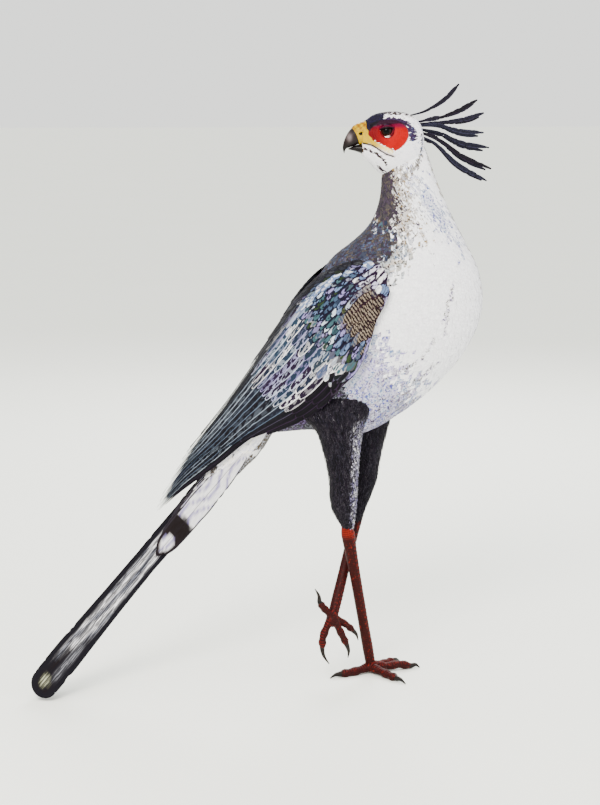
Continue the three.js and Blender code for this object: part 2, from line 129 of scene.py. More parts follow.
def mix(a: object, b: object, share: Array) -> Array:
    """Blends a into b by a share from 0 to 1. Hex values are taken as colours."""
    a, b = (linear(end) if isinstance(end, str) else end for end in (a, b))
    return a + (b - a) * share


def dyed(tone: Array, *layers: tuple[object, Array]) -> Array:
    """Lays colours over a tone one after the other.

    Args:
        tone: The colour of each point.
        layers: Each colour with its share at each point.

    Returns:
        The new colour of each point.
    """
    for colour, share in layers:
        tone = mix(tone, colour, np.asarray(share)[..., None])
    return tone


def bell(value: Array, width: float, power: int = 2) -> Array:
    """Falls from 1 at 0 towards 0 past a width."""
    return np.exp(-((value / width) ** power))


def lengths(vectors: Array) -> Array:
    """Gives the length of each vector."""
    return np.linalg.norm(vectors, axis=-1)


def unit(vectors: Array) -> Array:
    """Scales vectors to length 1."""
    return vectors / np.maximum(lengths(vectors)[..., None], 1e-9)


def whole(values: Array) -> Array:
    """Shapes one value for each feather so that it spreads over rows and columns."""
    return np.asarray(values)[:, None, None]


class Spline:
    """A smooth line through points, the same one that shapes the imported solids."""

    def __init__(self, points: Array) -> None:
        """Keeps the points, one in each row."""
        self.points = np.asarray(points, float)
        step = 1e-4
        self._lead = (self._inside(np.array([step])) - self._inside(np.array([0.0]))) / step
        self._trail = (self._inside(np.array([1.0])) - self._inside(np.array([1 - step]))) / step

    def at(self, shares: Array) -> Array:
        """Reads the line, which runs on straight past its ends.

        Args:
            shares: Places along the line, 0 at its start and 1 at its end.

        Returns:
            A point for each share, in the shape of shares with one more axis.
        """
        shares = np.asarray(shares, float)
        flat = shares.ravel()
        kept = np.clip(flat, 0, 1)
        over = (flat - kept)[:, None]
        found = self._inside(kept) + np.where(over < 0, over * self._lead, over * self._trail)
        return found.reshape(*shares.shape, self.points.shape[1])

    def slope(self, shares: Array) -> Array:
        """Gives the unit direction of the line at each share."""
        step = 1e-3
        return unit(self.at(np.asarray(shares) + step) - self.at(np.asarray(shares) - step))

    def _inside(self, shares: Array) -> Array:
        """Reads the line between its ends."""
        points = self.points
        last = len(points) - 1
        place = shares * last
        i = np.minimum(place.astype(int), last - 1)
        w = (place - i)[:, None]
        a = np.where((i > 0)[:, None], points[i - 1], 2 * points[0] - points[1])
        b = points[i]
        c = points[i + 1]
        beyond = 2 * points[last] - points[last - 1]
        d = np.where((i + 2 <= last)[:, None], points[np.minimum(i + 2, last)], beyond)
        step = [np.sqrt(np.linalg.norm(q - p, axis=1, keepdims=True)) for p, q in ((a, b), (b, c), (c, d))]
        step[1] = np.where(step[1] < 1e-4, 1.0, step[1])
        step[0] = np.where(step[0] < 1e-4, step[1], step[0])
        step[2] = np.where(step[2] < 1e-4, step[1], step[2])
        start = ((b - a) / step[0] - (c - a) / (step[0] + step[1]) + (c - b) / step[1]) * step[1]
        end = ((c - b) / step[1] - (d - b) / (step[1] + step[2]) + (d - c) / step[2]) * step[1]
        cubic = 2 * b - 2 * c + start + end
        square = -3 * b + 3 * c - 2 * start - end
        return b + w * (start + w * (square + w * cubic))


def profile(values: object, shares: Array) -> Array:
    """Reads a smooth run of single values at equal steps."""
    return Spline(np.array(values, float)[:, None]).at(shares)[..., 0]


def run_along(points: Array) -> Array:
    """Gives how far along a line each of its points lies."""
    return np.concatenate([[0], np.cumsum(lengths(np.diff(points, axis=0)))])


class Form:
    """A body form of oval sections.

    A station is the upper x and z, the lower x and z, the half width and, where it isn't 0, the middle y.
    """

    def __init__(self, stations: list[list[float]]) -> None:
        """Keeps the form's three guiding lines."""
        rows = np.array([[*row, 0.0][:6] for row in stations], float)
        self.upper = Spline(rows[:, [0, 5, 1]])
        self.lower = Spline(rows[:, [2, 5, 3]])
        self.half = Spline(rows[:, 4:5])

    def at(self, share: Array, angle: Array, raised: Array = 0.0) -> Array:
        """Finds points on or over the form.

        Args:
            share: Places along the form, from 0 to 1.
            angle: Angles from the upper edge towards +Y, in radians.
            raised: Heights over the form.

        Returns:
            A point for each place.
        """
        share, angle, raised = np.broadcast_arrays(share, angle, raised)
        upper = self.upper.at(share)
        lower = self.lower.at(share)
        rise = upper - lower
        height = np.linalg.norm(rise, axis=-1, keepdims=True) / 2
        rise = rise / (2 * height)
        half = np.maximum(self.half.at(share), 0.5)
        cos = np.cos(angle)[..., None]
        sin = np.sin(angle)[..., None]
        side = np.array([0.0, 1.0, 0.0])
        normal = unit(rise * cos / height + side * sin / half)
        return (upper + lower) / 2 + rise * height * cos + side * half * sin + normal * raised[..., None]

    def stretch(self, share: Array, angle: Array) -> tuple[Array, Array]:
        """Measures the form: millimetres for a full share along it and for a radian round it."""
        step = 2e-3
        along = lengths(self.at(share + step, angle) - self.at(share - step, angle)) / (2 * step)
        around = lengths(self.at(share, angle + step) - self.at(share, angle - step)) / (2 * step)
        return np.maximum(along, 40.0), np.maximum(around, 3.0)

    def roots(self, start: float, stop: float, spacing: float, rng: Rng) -> tuple[Array, Array]:
        """Spreads feather roots evenly over a stretch of the form.

        Args:
            start: Share where the stretch starts.
            stop: Share where it ends.
            spacing: Distance between roots.
            rng: Source of the small shifts.

        Returns:
            The share and the angle of each root.
        """
        line = np.linspace(start, stop, 160)
        runs = [lengths(np.diff(self.at(line, a), axis=0)).sum() for a in (0, 1.6, 3.1)]
        rows = max(2, int(max(runs) / spacing))
        shares = []
        angles = []
        turn = np.linspace(0, TURN, 121)
        for row in range(rows):
            share = start + (row + 0.5) / rows * (stop - start)
            length = run_along(self.at(share, turn))
            count = max(4, int(length[-1] / spacing))
            place = (np.arange(count) + 0.5 * (row % 2) + rng.uniform(-0.28, 0.28, count)) / count
            angles.append(np.interp((place % 1) * length[-1], length, turn))
            shares.append(share + rng.uniform(-0.3, 0.3, count) * (stop - start) / rows)
        angle = np.concatenate(angles)
        return np.concatenate(shares), np.where(angle > math.pi, angle - TURN, angle)


def select_only(*pieces: Piece) -> None:
    """Leaves just these objects selected, the first one active."""
    if bpy.context.object and bpy.context.object.mode != "OBJECT":
        bpy.ops.object.mode_set(mode="OBJECT")
    bpy.ops.object.select_all(action="DESELECT")
    for piece in pieces:
        piece.select_set(True)
    if pieces:
        bpy.context.view_layer.objects.active = pieces[0]


def apply_modifier(piece: Piece, kind: str, **settings: object) -> None:
    """Puts a modifier on a piece and applies it.

    Args:
        piece: The object to change.
        kind: Blender's name for the modifier's type.
        settings: Values for the modifier's own properties.
    """
    modifier = piece.modifiers.new(kind.title(), kind)
    for name, value in settings.items():
        setattr(modifier, name, value)
    select_only(piece)
    bpy.ops.object.modifier_apply(modifier=modifier.name)


def points_of(piece: Piece) -> Array:
    """Reads a mesh's vertices in millimetres."""
    return per_vertex(piece, "co") / MM


def per_vertex(piece: Piece, name: str) -> Array:
    """Reads a vector of each of a mesh's vertices."""
    flat = np.zeros(len(piece.data.vertices) * 3)
    piece.data.vertices.foreach_get(name, flat)
    return flat.reshape(-1, 3)


def move_points(piece: Piece, points: Array) -> None:
    """Sets a mesh's vertices from millimetres."""
    piece.data.vertices.foreach_set("co", (np.asarray(points) * MM).ravel())
    piece.data.update()


def turn_outwards(piece: Piece) -> None:
    """Makes a closed mesh's faces point outwards and smooths their shading."""
    select_only(piece)
    bpy.ops.object.mode_set(mode="EDIT")
    bpy.ops.mesh.select_all(action="SELECT")
    bpy.ops.mesh.normals_make_consistent(inside=False)
    bpy.ops.object.mode_set(mode="OBJECT")
    bpy.ops.object.shade_smooth()


def paint(piece: Piece, name: str, values: object) -> None:
    """Writes a colour or vector for each vertex.

    Args:
        piece: The mesh to paint.
        name: Name of the attribute.
        values: Three numbers for each vertex, or one colour for all.
    """
    if isinstance(values, str):
        values = np.broadcast_to(linear(values), (len(piece.data.vertices), 3))
    values = np.asarray(values, float)
    colour = name in ("web", "rim", "tone")
    layer = piece.data.attributes.new(name, "FLOAT_COLOR" if colour else "FLOAT_VECTOR", "POINT")
    if colour:
        values = np.concatenate([values, np.ones((len(values), 1))], axis=1)
    layer.data.foreach_set("color" if colour else "vector", values.astype(np.float32).ravel())


def wrapped(name: str, place: object, rings: int, sides: int) -> Piece:
    """Adds a ball and moves its rings and poles on to a closed form.

    Args:
        name: Name of the new object.
        place: Gives points for arrays of share along the form and angle round it.
        rings: Steps along the form.
        sides: Steps round it.

    Returns:
        The object, faces outwards.
    """
    select_only()
    bpy.ops.mesh.primitive_uv_sphere_add(segments=sides, ring_count=rings, radius=1)
    piece = bpy.context.object
    piece.name = name
    piece.data.name = name
    ball = points_of(piece) * MM
    share = np.arccos(np.clip(ball[:, 2], -1, 1)) / math.pi
    pole = (share < 1e-3) | (share > 1 - 1e-3)
    share = np.clip((share * rings - 1) / (rings - 2), 0, 1)
    angle = np.arctan2(ball[:, 1], ball[:, 0])
    points = place(share, angle)
    for end in (0.0, 1.0):
        here = pole & (share == end)
        ring = ~pole & (share < 1e-6 if end == 0 else share > 1 - 1e-6)
        points[here] = points[ring].mean(axis=0)
    move_points(piece, points)
    turn_outwards(piece)
    return piece


def limb(points: list, widths: list[float], heights: list[float], side: Array, rings: int,
         sides: int) -> Piece:
    """Makes a closed tube of oval section along a smooth line.

    Args:
        points: The line's points.
        widths: Half widths across the line along the side direction, at equal steps.
        heights: Half heights at right angles to them, at equal steps.
        side: The side direction.
        rings: Steps along the tube.
        sides: Steps round it.

    Returns:
        The tube as a new object.
    """
    line = Spline(points)

    def place(share: Array, angle: Array) -> Array:
        """Gives points of the tube's skin."""
        tangent = line.slope(share)
        across = unit(side - (tangent @ side)[:, None] * tangent)
        rise = np.cross(across, tangent)
        wide = profile(widths, share) * np.cos(angle)
        high = profile(heights, share) * np.sin(angle)
        return line.at(share) + across * wide[:, None] + rise * high[:, None]

    return wrapped("limb", place, rings, sides)


def joined(name: str, pieces: list[Piece]) -> Piece:
    """Joins objects into the first one and renames it."""
    select_only(*pieces)
    if len(pieces) > 1:
        bpy.ops.object.join()
    piece = bpy.context.object
    piece.name = name
    piece.data.name = name
    return piece


def fused(name: str, pieces: list[Piece], voxel: float, passes: int) -> Piece:
    """Fuses overlapping closed forms into one skin of small even faces.

    Args:
        name: Name of the result.
        pieces: Closed objects that overlap.
        voxel: Size of the new faces.
        passes: How many times the skin is smoothed.

    Returns:
        One closed object.
    """
    piece = joined(name, pieces)
    apply_modifier(piece, "REMESH", mode="VOXEL", voxel_size=voxel * MM, use_smooth_shade=True)
    if passes:
        apply_modifier(piece, "SMOOTH", factor=0.5, iterations=passes)
    return piece


def finish_piece(piece: Piece, slot: str, material: Material, *nodes: str) -> None:
    """Gives a piece its finish, hangs it under the root and hides the solids that it replaces.

    Args:
        piece: The finished object.
        slot: Not used.
        material: Its material.
        nodes: The solids that it replaces.
    """
    piece.data.materials.clear()
    piece.data.materials.append(material)
    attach(piece, "root")
    if nodes:
        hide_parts(*nodes)
    LOG.info("%s: %d faces", piece.name, len(piece.data.polygons))


@dataclass(frozen=True)
class VaneShape:
    """How a kind of feather is divided, and its outline."""

    rows: int
    columns: tuple[float, ...]
    outline: tuple[float, ...]
    ragged: float = 0.0
    round_tip: float = 0.0
    camber: float = 0.12
    crowd: float = 1.0

    @property
    def shares(self) -> Array:
        """Places of the rows along the feather."""
        return np.linspace(0, 1, self.rows + 1) ** self.crowd

    @property
    def across(self) -> Array:
        """Places of the columns across the feather, from -1 to 1."""
        return np.array(self.columns)[None, None]

    def grid(self, count: int, rng: Rng) -> tuple[Array, Array]:
        """Lays out many feathers of this kind.

        Args:
            count: How many feathers.
            rng: Source of the ragged tips.

        Returns:
            Shares along each feather and shares across it, each as feathers by rows by columns.
        """
        along = np.broadcast_to(self.shares[None, :, None], (count, self.rows + 1, len(self.columns))).copy()
        across = self.across * profile(self.outline, self.shares)[None, :, None]
        across = np.broadcast_to(across, along.shape).copy()
        across[:, -1, :] *= 1 + rng.uniform(-1, 1, (count, len(self.columns))) * self.ragged * 0.2
        along[:, -1, :] -= rng.uniform(0, self.ragged, (count, len(self.columns)))
        return along, across


@dataclass
class Dress:
    """Colours and marks of a batch of feathers, one row for each feather.

    rim_width is in millimetres. bars, shaft and mottle, the share of specks, run from 0 to 1.
    """

    web: Array
    rim: Array
    rim_width: Array | float
    bars: Array | float = 0.0
    shaft: Array | float = 0.0
    mottle: Array | float = 1.0


@dataclass
class Vanes:
    """Feathers of one piece, kept as arrays until they are made into one closed-vaned mesh."""

    name: str
    points: list[Array] = field(default_factory=list)
    quads: list[Array] = field(default_factory=list)
    layers: dict[str, list[Array]] = field(default_factory=dict)
    count: int = 0

    def add(self, shape: VaneShape, top: Array, under: Array, size: tuple[Array, Array], dress: Dress,
            root_uv: Array, rng: Rng, patch: float = 0.003) -> None:
        """Adds a batch of feathers.

        Args:
            shape: Their kind.
            top: Upper faces, as feathers by rows by columns by three.
            under: Lower faces in the same shape. Both faces share the feather's edge.
            size: Half width and length of each feather.
            dress: Their colours and marks.
            root_uv: Place of each root on the unwrap of the form that they grow from.
            rng: Source of each feather's own chance value.
            patch: Width of each feather's patch on that unwrap.
        """
        number, rows, columns = top.shape[:3]
        over = np.arange(rows * columns).reshape(rows, columns)
        below = over.copy()
        inner = (rows - 2) * (columns - 2)
        below[1:-1, 1:-1] = rows * columns + np.arange(inner).reshape(rows - 2, columns - 2)
        near = slice(0, -1)
        far = slice(1, None)
        corner = [(near, near), (far, near), (far, far), (near, far)]
        faces = np.concatenate([
            np.stack([over[c] for c in corner], -1).reshape(-1, 4),
            np.stack([below[c] for c in reversed(corner)], -1).reshape(-1, 4),
        ])
        verts = np.concatenate([
            top.reshape(number, -1, 3), under[:, 1:-1, 1:-1].reshape(number, -1, 3)], axis=1)
        first = top[:, 0, 0]
        middle = top[:, rows // 2, columns // 2]
        facing = np.cross(middle - first, top[:, 0, -1] - first)
        outward = np.einsum("ij,ij->i", facing, middle - under[:, rows // 2, columns // 2])
        every = faces[None] + (self.count + np.arange(number) * verts.shape[1])[:, None, None]
        every[outward < 0] = every[outward < 0][:, :, ::-1]
        self.points.append(verts.reshape(-1, 3))
        self.quads.append(every.reshape(-1, 4))
        self.count += number * verts.shape[1]
        u = np.broadcast_to((np.array(shape.columns) + 1)[None, None] / 2, (number, rows, columns))
        v = np.broadcast_to(shape.shares[None, :, None], (number, rows, columns))
        vane = np.stack([u, v], -1)
        chance = rng.uniform(0.25, 1, number) * dress.mottle
        ones = np.ones(number)
        grids = {
            "Vane": vane,
            "OFBake": whole(root_uv) + (vane - 0.5) * patch,
            "web": dress.web,
            "rim": dress.rim,
            "sizes": np.stack([ones * size[0], ones * size[1], ones * dress.rim_width], -1),
            "marks": np.stack([ones * dress.bars, ones * dress.shaft, chance], -1),
        }
        for name, values in grids.items():
            parts = values.shape[-1]
            if values.ndim < 4:
                values = values.reshape(-1, 1, 1, parts)
            values = np.broadcast_to(values, (number, rows, columns, parts))
            flat = [values.reshape(number, -1, parts), values[:, 1:-1, 1:-1].reshape(number, -1, parts)]
            self.layers.setdefault(name, []).append(np.concatenate(flat, axis=1).reshape(-1, parts))

    def build(self) -> Piece:
        """Makes the feathers into one object."""
        mesh = bpy.data.meshes.new(self.name)
        points = np.concatenate(self.points) * MM
        quads = np.concatenate(self.quads)
        mesh.vertices.add(len(points))
        mesh.vertices.foreach_set("co", points.astype(np.float32).ravel())
        mesh.loops.add(quads.size)
        mesh.loops.foreach_set("vertex_index", quads.astype(np.int32).ravel())
        mesh.polygons.add(len(quads))
        mesh.polygons.foreach_set("loop_start", np.arange(0, quads.size, 4, dtype=np.int32))
        mesh.update(calc_edges=True)
        piece = bpy.data.objects.new(self.name, mesh)
        bpy.context.scene.collection.objects.link(piece)
        for name in ("OFBake", "Vane"):
            layer = mesh.uv_layers.new(name=name)
            values = np.concatenate(self.layers[name])[quads.ravel()]
            layer.data.foreach_set("uv", values.astype(np.float32).ravel())
        for name in ("web", "rim", "sizes", "marks"):
            paint(piece, name, np.concatenate(self.layers[name]))
        select_only(piece)
        bpy.ops.object.shade_smooth_by_angle(angle=math.radians(60))
        return piece


def add_node(tree: bpy.types.NodeTree, kind: str, settings: dict | None = None,
             **inputs: object) -> bpy.types.Node:
    """Adds a shader node with its settings, values and links.

    Args:
        tree: The material's node tree.
        kind: The node's type, without the ShaderNode in front.
        settings: The node's own properties.
        inputs: Values or output sockets for its inputs, by input name or as in0, in1 by place.

    Returns:
        The new node.
    """
    node = tree.nodes.new("ShaderNode" + kind)
    for name, value in (settings or {}).items():
        setattr(node, name, value)
    for name, value in inputs.items():
        socket = node.inputs[int(name[2:])] if name[:2] == "in" and name[2:].isdigit() else node.inputs[name]
        if isinstance(value, Socket):
            tree.links.new(value, socket)
        else:
            socket.default_value = value
    return node


class Shader:
    """A material in the making: its tree, its surface shader and short ways to do sums with sockets."""

    def __init__(self, name: str, **surface: object) -> None:
        """Starts a material, with constants for its surface shader by input name."""
        self.material = bpy.data.materials.new(name)
        self.material.use_nodes = True
        self.tree = self.material.node_tree
        self.surface = self.tree.nodes["Principled BSDF"]
        for key, value in surface.items():
            self.surface.inputs[key.replace("_", " ")].default_value = value

    def sum(self, operation: str, *values: object, clamp: bool = False) -> Socket:
        """Does one sum with sockets or numbers."""
        places = {f"in{i}": value for i, value in enumerate(values)}
        return add_node(self.tree, "Math", {"operation": operation, "use_clamp": clamp}, **places).outputs[0]

    def times(self, a: object, b: object, clamp: bool = False) -> Socket:
        """Multiplies two sockets or numbers."""
        return self.sum("MULTIPLY", a, b, clamp=clamp)

    def plus(self, a: object, factor: object, more: object) -> Socket:
        """Multiplies by a factor and adds more."""
        return self.sum("MULTIPLY_ADD", a, factor, more)

    def shaded(self, tone: Socket, shade: Socket) -> Socket:
        """Multiplies a colour by a grey."""
        grey = add_node(self.tree, "CombineXYZ", None, in0=shade, in1=shade, in2=shade).outputs[0]
        return self.blend(1.0, tone, grey, "MULTIPLY")

    def ramp(self, value: object, low: float, high: float, start: object = 0.0, end: object = 1.0) -> object:
        """Maps a value smoothly from low to high on to start to end."""
        settings = {"interpolation_type": "SMOOTHSTEP"}
        inputs = dict(in0=value, in1=low, in2=high, in3=start, in4=end)
        return add_node(self.tree, "MapRange", settings, **inputs).outputs[0]

    def blend(self, share: object, a: object, b: object, how: str = "MIX") -> Socket:
        """Blends two colours by a share."""
        node = add_node(self.tree, "Mix", {"data_type": "RGBA", "blend_type": how}, in0=share, in6=a, in7=b)
        return node.outputs[2]

    def attribute(self, name: str) -> tuple[Socket, list]:
        """Reads a painted attribute, whole and as three numbers."""
        node = add_node(self.tree, "Attribute", {"attribute_name": name})
        split = add_node(self.tree, "SeparateXYZ", None, in0=node.outputs["Vector"])
        return node.outputs["Color"], list(split.outputs)

    def noise(self, scale: float, detail: float = 3.0, vector: object = None) -> Socket:
        """Reads a noise on Object coordinates, with its scale in lumps per metre."""
        if vector is None:
            vector = add_node(self.tree, "TexCoord").outputs["Object"]
        inputs = {"Vector": vector, "Scale": scale, "Detail": detail}
        return add_node(self.tree, "TexNoise", None, **inputs).outputs["Fac"]

    def bump(self, height: object, depth: float, strength: float = 1.0, under: object = None) -> object:
        """Turns a height into a normal, with its depth in millimetres."""
        inputs = {"Height": height, "Distance": depth * MM, "Strength": strength}
        if under is not None:
            inputs["Normal"] = under
        return add_node(self.tree, "Bump", None, **inputs).outputs[0]

    def set(self, **sockets: Socket) -> Material:
        """Links sockets to the surface shader and gives the material."""
        for key, value in sockets.items():
            self.tree.links.new(value, self.surface.inputs[key.replace("_", " ")])
        return self.material


@dataclass(frozen=True)
class Plumage:
    """Keratin feathers, grown as barbs on a shaft, which gives matt webs with fine slanted lines.

    Real barbs lie about 0.4 mm apart. They are drawn wider, so that they show at the render's scale.
    """

    name: str
    barb_spacing: float = 1.6
    barb_slant: float = 1.5
    barb_contrast: float = 0.12
    barb_depth: float = 0.18
    wobble: float = 0.8
    variation: float = 0.14
    roughness: float = 0.62
    sheen: float = 0.0
    gloss: float = 0.08
    bar_spacing: float = 7.0
    bar_tint: str = "#857766"
    bar_dark: str = "#180d0c"
    shaft_tint: str = "#1a151c"
    shaft_width: float = 0.9
    speckle: float = 0.0
    speckle_scale: float = 180.0
    speckle_floor: float = 0.5
    streaks: float = 0.0
    rim_start: float = 0.75
    rim_end: float = 1.35
    stretch: float = 1.0
    stretch_turn: float = -56.0

    def material(self) -> Material:
        """Builds the feathers' material."""
        made = Shader(self.name, Roughness=self.roughness, Sheen_Weight=self.sheen, Sheen_Roughness=0.5,
                      IOR=1.54, Specular_IOR_Level=self.gloss)
        web, _ = made.attribute("web")
        rim, _ = made.attribute("rim")
        _, size = made.attribute("sizes")
        _, marks = made.attribute("marks")
        uv = add_node(made.tree, "UVMap", {"uv_map": "Vane"}).outputs[0]
        place = add_node(made.tree, "SeparateXYZ", None, in0=uv).outputs
        across = made.sum("ABSOLUTE", made.plus(place[0], 2.0, -1.0))
        across_mm = made.times(across, size[0])
        along_mm = made.times(place[1], size[1])
        to_side = made.sum("SUBTRACT", size[0], across_mm)
        to_tip = made.sum("SUBTRACT", size[1], along_mm)
        edge = made.sum("MINIMUM", to_side, to_tip)
        noise = made.noise(420.0)
        edge = made.plus(made.sum("SUBTRACT", noise, 0.5), self.wobble * 2, edge)
        inner = made.times(size[2], self.rim_end)
        rim_share = made.ramp(edge, made.times(size[2], self.rim_start), inner, 1.0, 0.0)
        barb = made.plus(across_mm, -self.barb_slant, along_mm)
        shifted = made.plus(noise, self.barb_spacing, barb)
        barb = made.sum("SINE", made.times(shifted, TURN / self.barb_spacing))
        bar = made.plus(noise, self.bar_spacing, along_mm)
        bar = made.sum("SINE", made.times(bar, TURN / self.bar_spacing))
        bar = made.ramp(bar, -0.1, 0.45)
        tone = made.blend(made.times(marks[0], bar), web, rgba(self.bar_tint))
        dark_bar = made.times(marks[0], made.sum("SUBTRACT", 1.0, bar))
        tone = made.blend(dark_bar, tone, rgba(self.bar_dark))
        if self.speckle:
            turn = (0.0, math.radians(self.stretch_turn), 0.0)
            drawn = add_node(made.tree, "Mapping", {"vector_type": "TEXTURE"},
                             in0=add_node(made.tree, "TexCoord").outputs["Object"],
                             in2=turn, in3=(self.stretch, 1.0, 1.0)).outputs[0]
            dots = made.noise(self.speckle_scale, 2.0, drawn)
            dots = made.ramp(dots, self.speckle_floor, self.speckle_floor + 0.05)
            amount = made.times(marks[2], self.speckle * 2.0, clamp=True)
            tone = made.blend(made.times(dots, amount), tone, rim)
        if self.streaks:
            drawn = add_node(made.tree, "Mapping", None, in0=uv, in3=(30.0, 14.0, 1.0)).outputs[0]
            lines = made.ramp(made.noise(1.0, 2.0, drawn), 0.44, 0.5)
            lines = made.times(lines, made.times(marks[2], 2.0, clamp=True))
            tone = made.blend(made.times(lines, self.streaks), tone, rim)
        tone = made.blend(rim_share, tone, rim)
        shaft = made.ramp(across_mm, self.shaft_width * 0.5, self.shaft_width, 1.0, 0.0)
        shaft = made.times(shaft, marks[1])
        tone = made.blend(shaft, tone, rgba(self.shaft_tint))
        shade = made.plus(barb, self.barb_contrast, 1.0 - self.barb_contrast)
        own = made.plus(marks[2], self.variation, 1.02 - self.variation)
        shade = made.times(shade, own)
        tone = made.shaded(tone, shade)
        height = made.plus(shaft, 2.0, barb)
        normal = made.bump(height, self.barb_depth, 0.6)
        return made.set(Base_Color=tone, Normal=normal)


@dataclass(frozen=True)
class SoftSkin:
    """Living skin under and between feathers, soft and finely wrinkled, slightly waxy where it is bare."""

    name: str
    roughness: float = 0.48
    wrinkle_scale: float = 900.0
    wrinkle_depth: float = 0.35
    subsurface: float = 0.0
    gloss: float = 0.08
    mottle: float = 0.25

    def material(self) -> Material:
        """Builds the skin's material."""
        made = Shader(self.name, Roughness=self.roughness, IOR=1.4, Subsurface_Weight=self.subsurface,
                      Subsurface_Scale=0.003, Specular_IOR_Level=self.gloss)
        tone, _ = made.attribute("tone")
        fine = made.noise(self.wrinkle_scale, 4.0)
        broad = made.noise(160.0, 3.0)
        shade = made.plus(broad, self.mottle * 2, 1.0 - self.mottle)
        tone = made.shaded(tone, shade)
        return made.set(Base_Color=tone, Normal=made.bump(fine, self.wrinkle_depth, 0.8))


@dataclass(frozen=True)
class ScaledSkin:
    """Horny leg scutes, grown as overlapping plates, which gives a dry satin with lighter red spots."""

    name: str
    roughness: float = 0.5
    grain_depth: float = 0.25

    def material(self) -> Material:
        """Builds the legs' material."""
        made = Shader(self.name, Roughness=self.roughness, IOR=1.5, Specular_IOR_Level=0.08)
        tone, _ = made.attribute("tone")
        spots = made.ramp(made.noise(240.0, 2.0), 0.6, 0.72)
        tone = made.blend(made.times(spots, 0.5), tone, rgba("#8a1c06"))
        fine = made.noise(1100.0, 4.0)
        shade = made.plus(fine, 0.5, 0.75)
        tone = made.shaded(tone, shade)
        return made.set(Base_Color=tone, Normal=made.bump(fine, self.grain_depth, 0.7))


@dataclass(frozen=True)
class Horn:
    """Keratin horn of bill and claws, worn smooth by use, with faint growth lines along it."""

    name: str
    roughness: float = 0.34
    line_depth: float = 0.12

    def material(self) -> Material:
        """Builds the horn's material."""
        made = Shader(self.name, Roughness=self.roughness, IOR=1.55, Coat_Weight=0.03, Coat_Roughness=0.15,
                      Specular_IOR_Level=0.1)
        tone, _ = made.attribute("tone")
        place = add_node(made.tree, "TexCoord").outputs["Object"]
        stretched = add_node(made.tree, "Mapping", None, in0=place, in3=(300.0, 700.0, 90.0)).outputs[0]
        lines = made.noise(1.0, 3.0, stretched)
        shade = made.plus(lines, 0.5, 0.75)
        tone = made.shaded(tone, shade)
        return made.set(Base_Color=tone, Normal=made.bump(lines, self.line_depth, 0.6))


@dataclass(frozen=True)
class WetEye:
    """Clear wet cornea over a dark iris, seen as one polished surface with a sharp highlight."""

    name: str
    roughness: float = 0.12

    def material(self) -> Material:
        """Builds the eye's material."""
        made = Shader(self.name, Roughness=self.roughness, IOR=1.376, Coat_Weight=0.2, Coat_Roughness=0.02,
                      Coat_IOR=1.38, Specular_IOR_Level=0.0)
        tone, _ = made.attribute("tone")
        fibres = made.noise(1500.0, 2.0)
        shade = made.plus(fibres, 0.8, 0.6)
        return made.set(Base_Color=made.shaded(tone, shade))


@dataclass(frozen=True)
class StudioPaper:
    """Matt seamless paper, rolled smooth, which gives an even pale ground."""

    name: str
    tint: str = "#f4f5ee"

    def material(self) -> Material:
        """Builds the floor's material."""
        made = Shader(self.name, Roughness=0.9, Specular_IOR_Level=0.2)
        broad = made.noise(1.2, 2.0)
        tone = made.blend(made.times(broad, 0.35), rgba(self.tint), rgba("#ecefe2"))
        return made.set(Base_Color=tone, Normal=made.bump(made.noise(600.0, 3.0), 0.1, 0.3))


PLAIN = (-1.0, -0.5, 0.0, 0.5, 1.0)
BROAD = (-1, -0.92, -0.75, -0.5, -0.25, -0.05, 0.05, 0.25, 0.5, 0.75, 0.92, 1)
SHAFTED = (-1.0, -0.86, -0.45, -0.07, 0.07, 0.45, 0.86, 1.0)
DOWN = VaneShape(3, PLAIN, (0.4, 0.85, 1.0, 0.95, 0.6), ragged=0.07, round_tip=0.9, camber=0.05, crowd=0.7)
TUFT = VaneShape(3, (-1.0, 0.0, 1.0), (0.5, 1.0, 0.8, 0.12), ragged=0.16, camber=0.06, crowd=0.8)
POINTED = VaneShape(4, (-1.0, -0.4, 0.4, 1.0), (0.4, 0.9, 1.0, 0.7, 0.1), ragged=0.3, camber=0.1)
SCALE = VaneShape(6, PLAIN, (0.6, 0.95, 1.0, 1.0, 0.92, 0.7, 0.3), round_tip=0.5, camber=0.16)
COVERT = VaneShape(10, SHAFTED, (0.5, 0.85, 1.0, 1.0, 1.0, 0.95, 0.82, 0.4), round_tip=0.3, camber=0.1)
FLIGHT = VaneShape(30, SHAFTED, (0.45, 0.8, 0.95, 1.0, 1.0, 0.96, 0.85, 0.22), round_tip=0.2, camber=0.06)


UNWRAP_EDGE = 0.01
UNWRAP_SPAN = 0.98 - 0.01


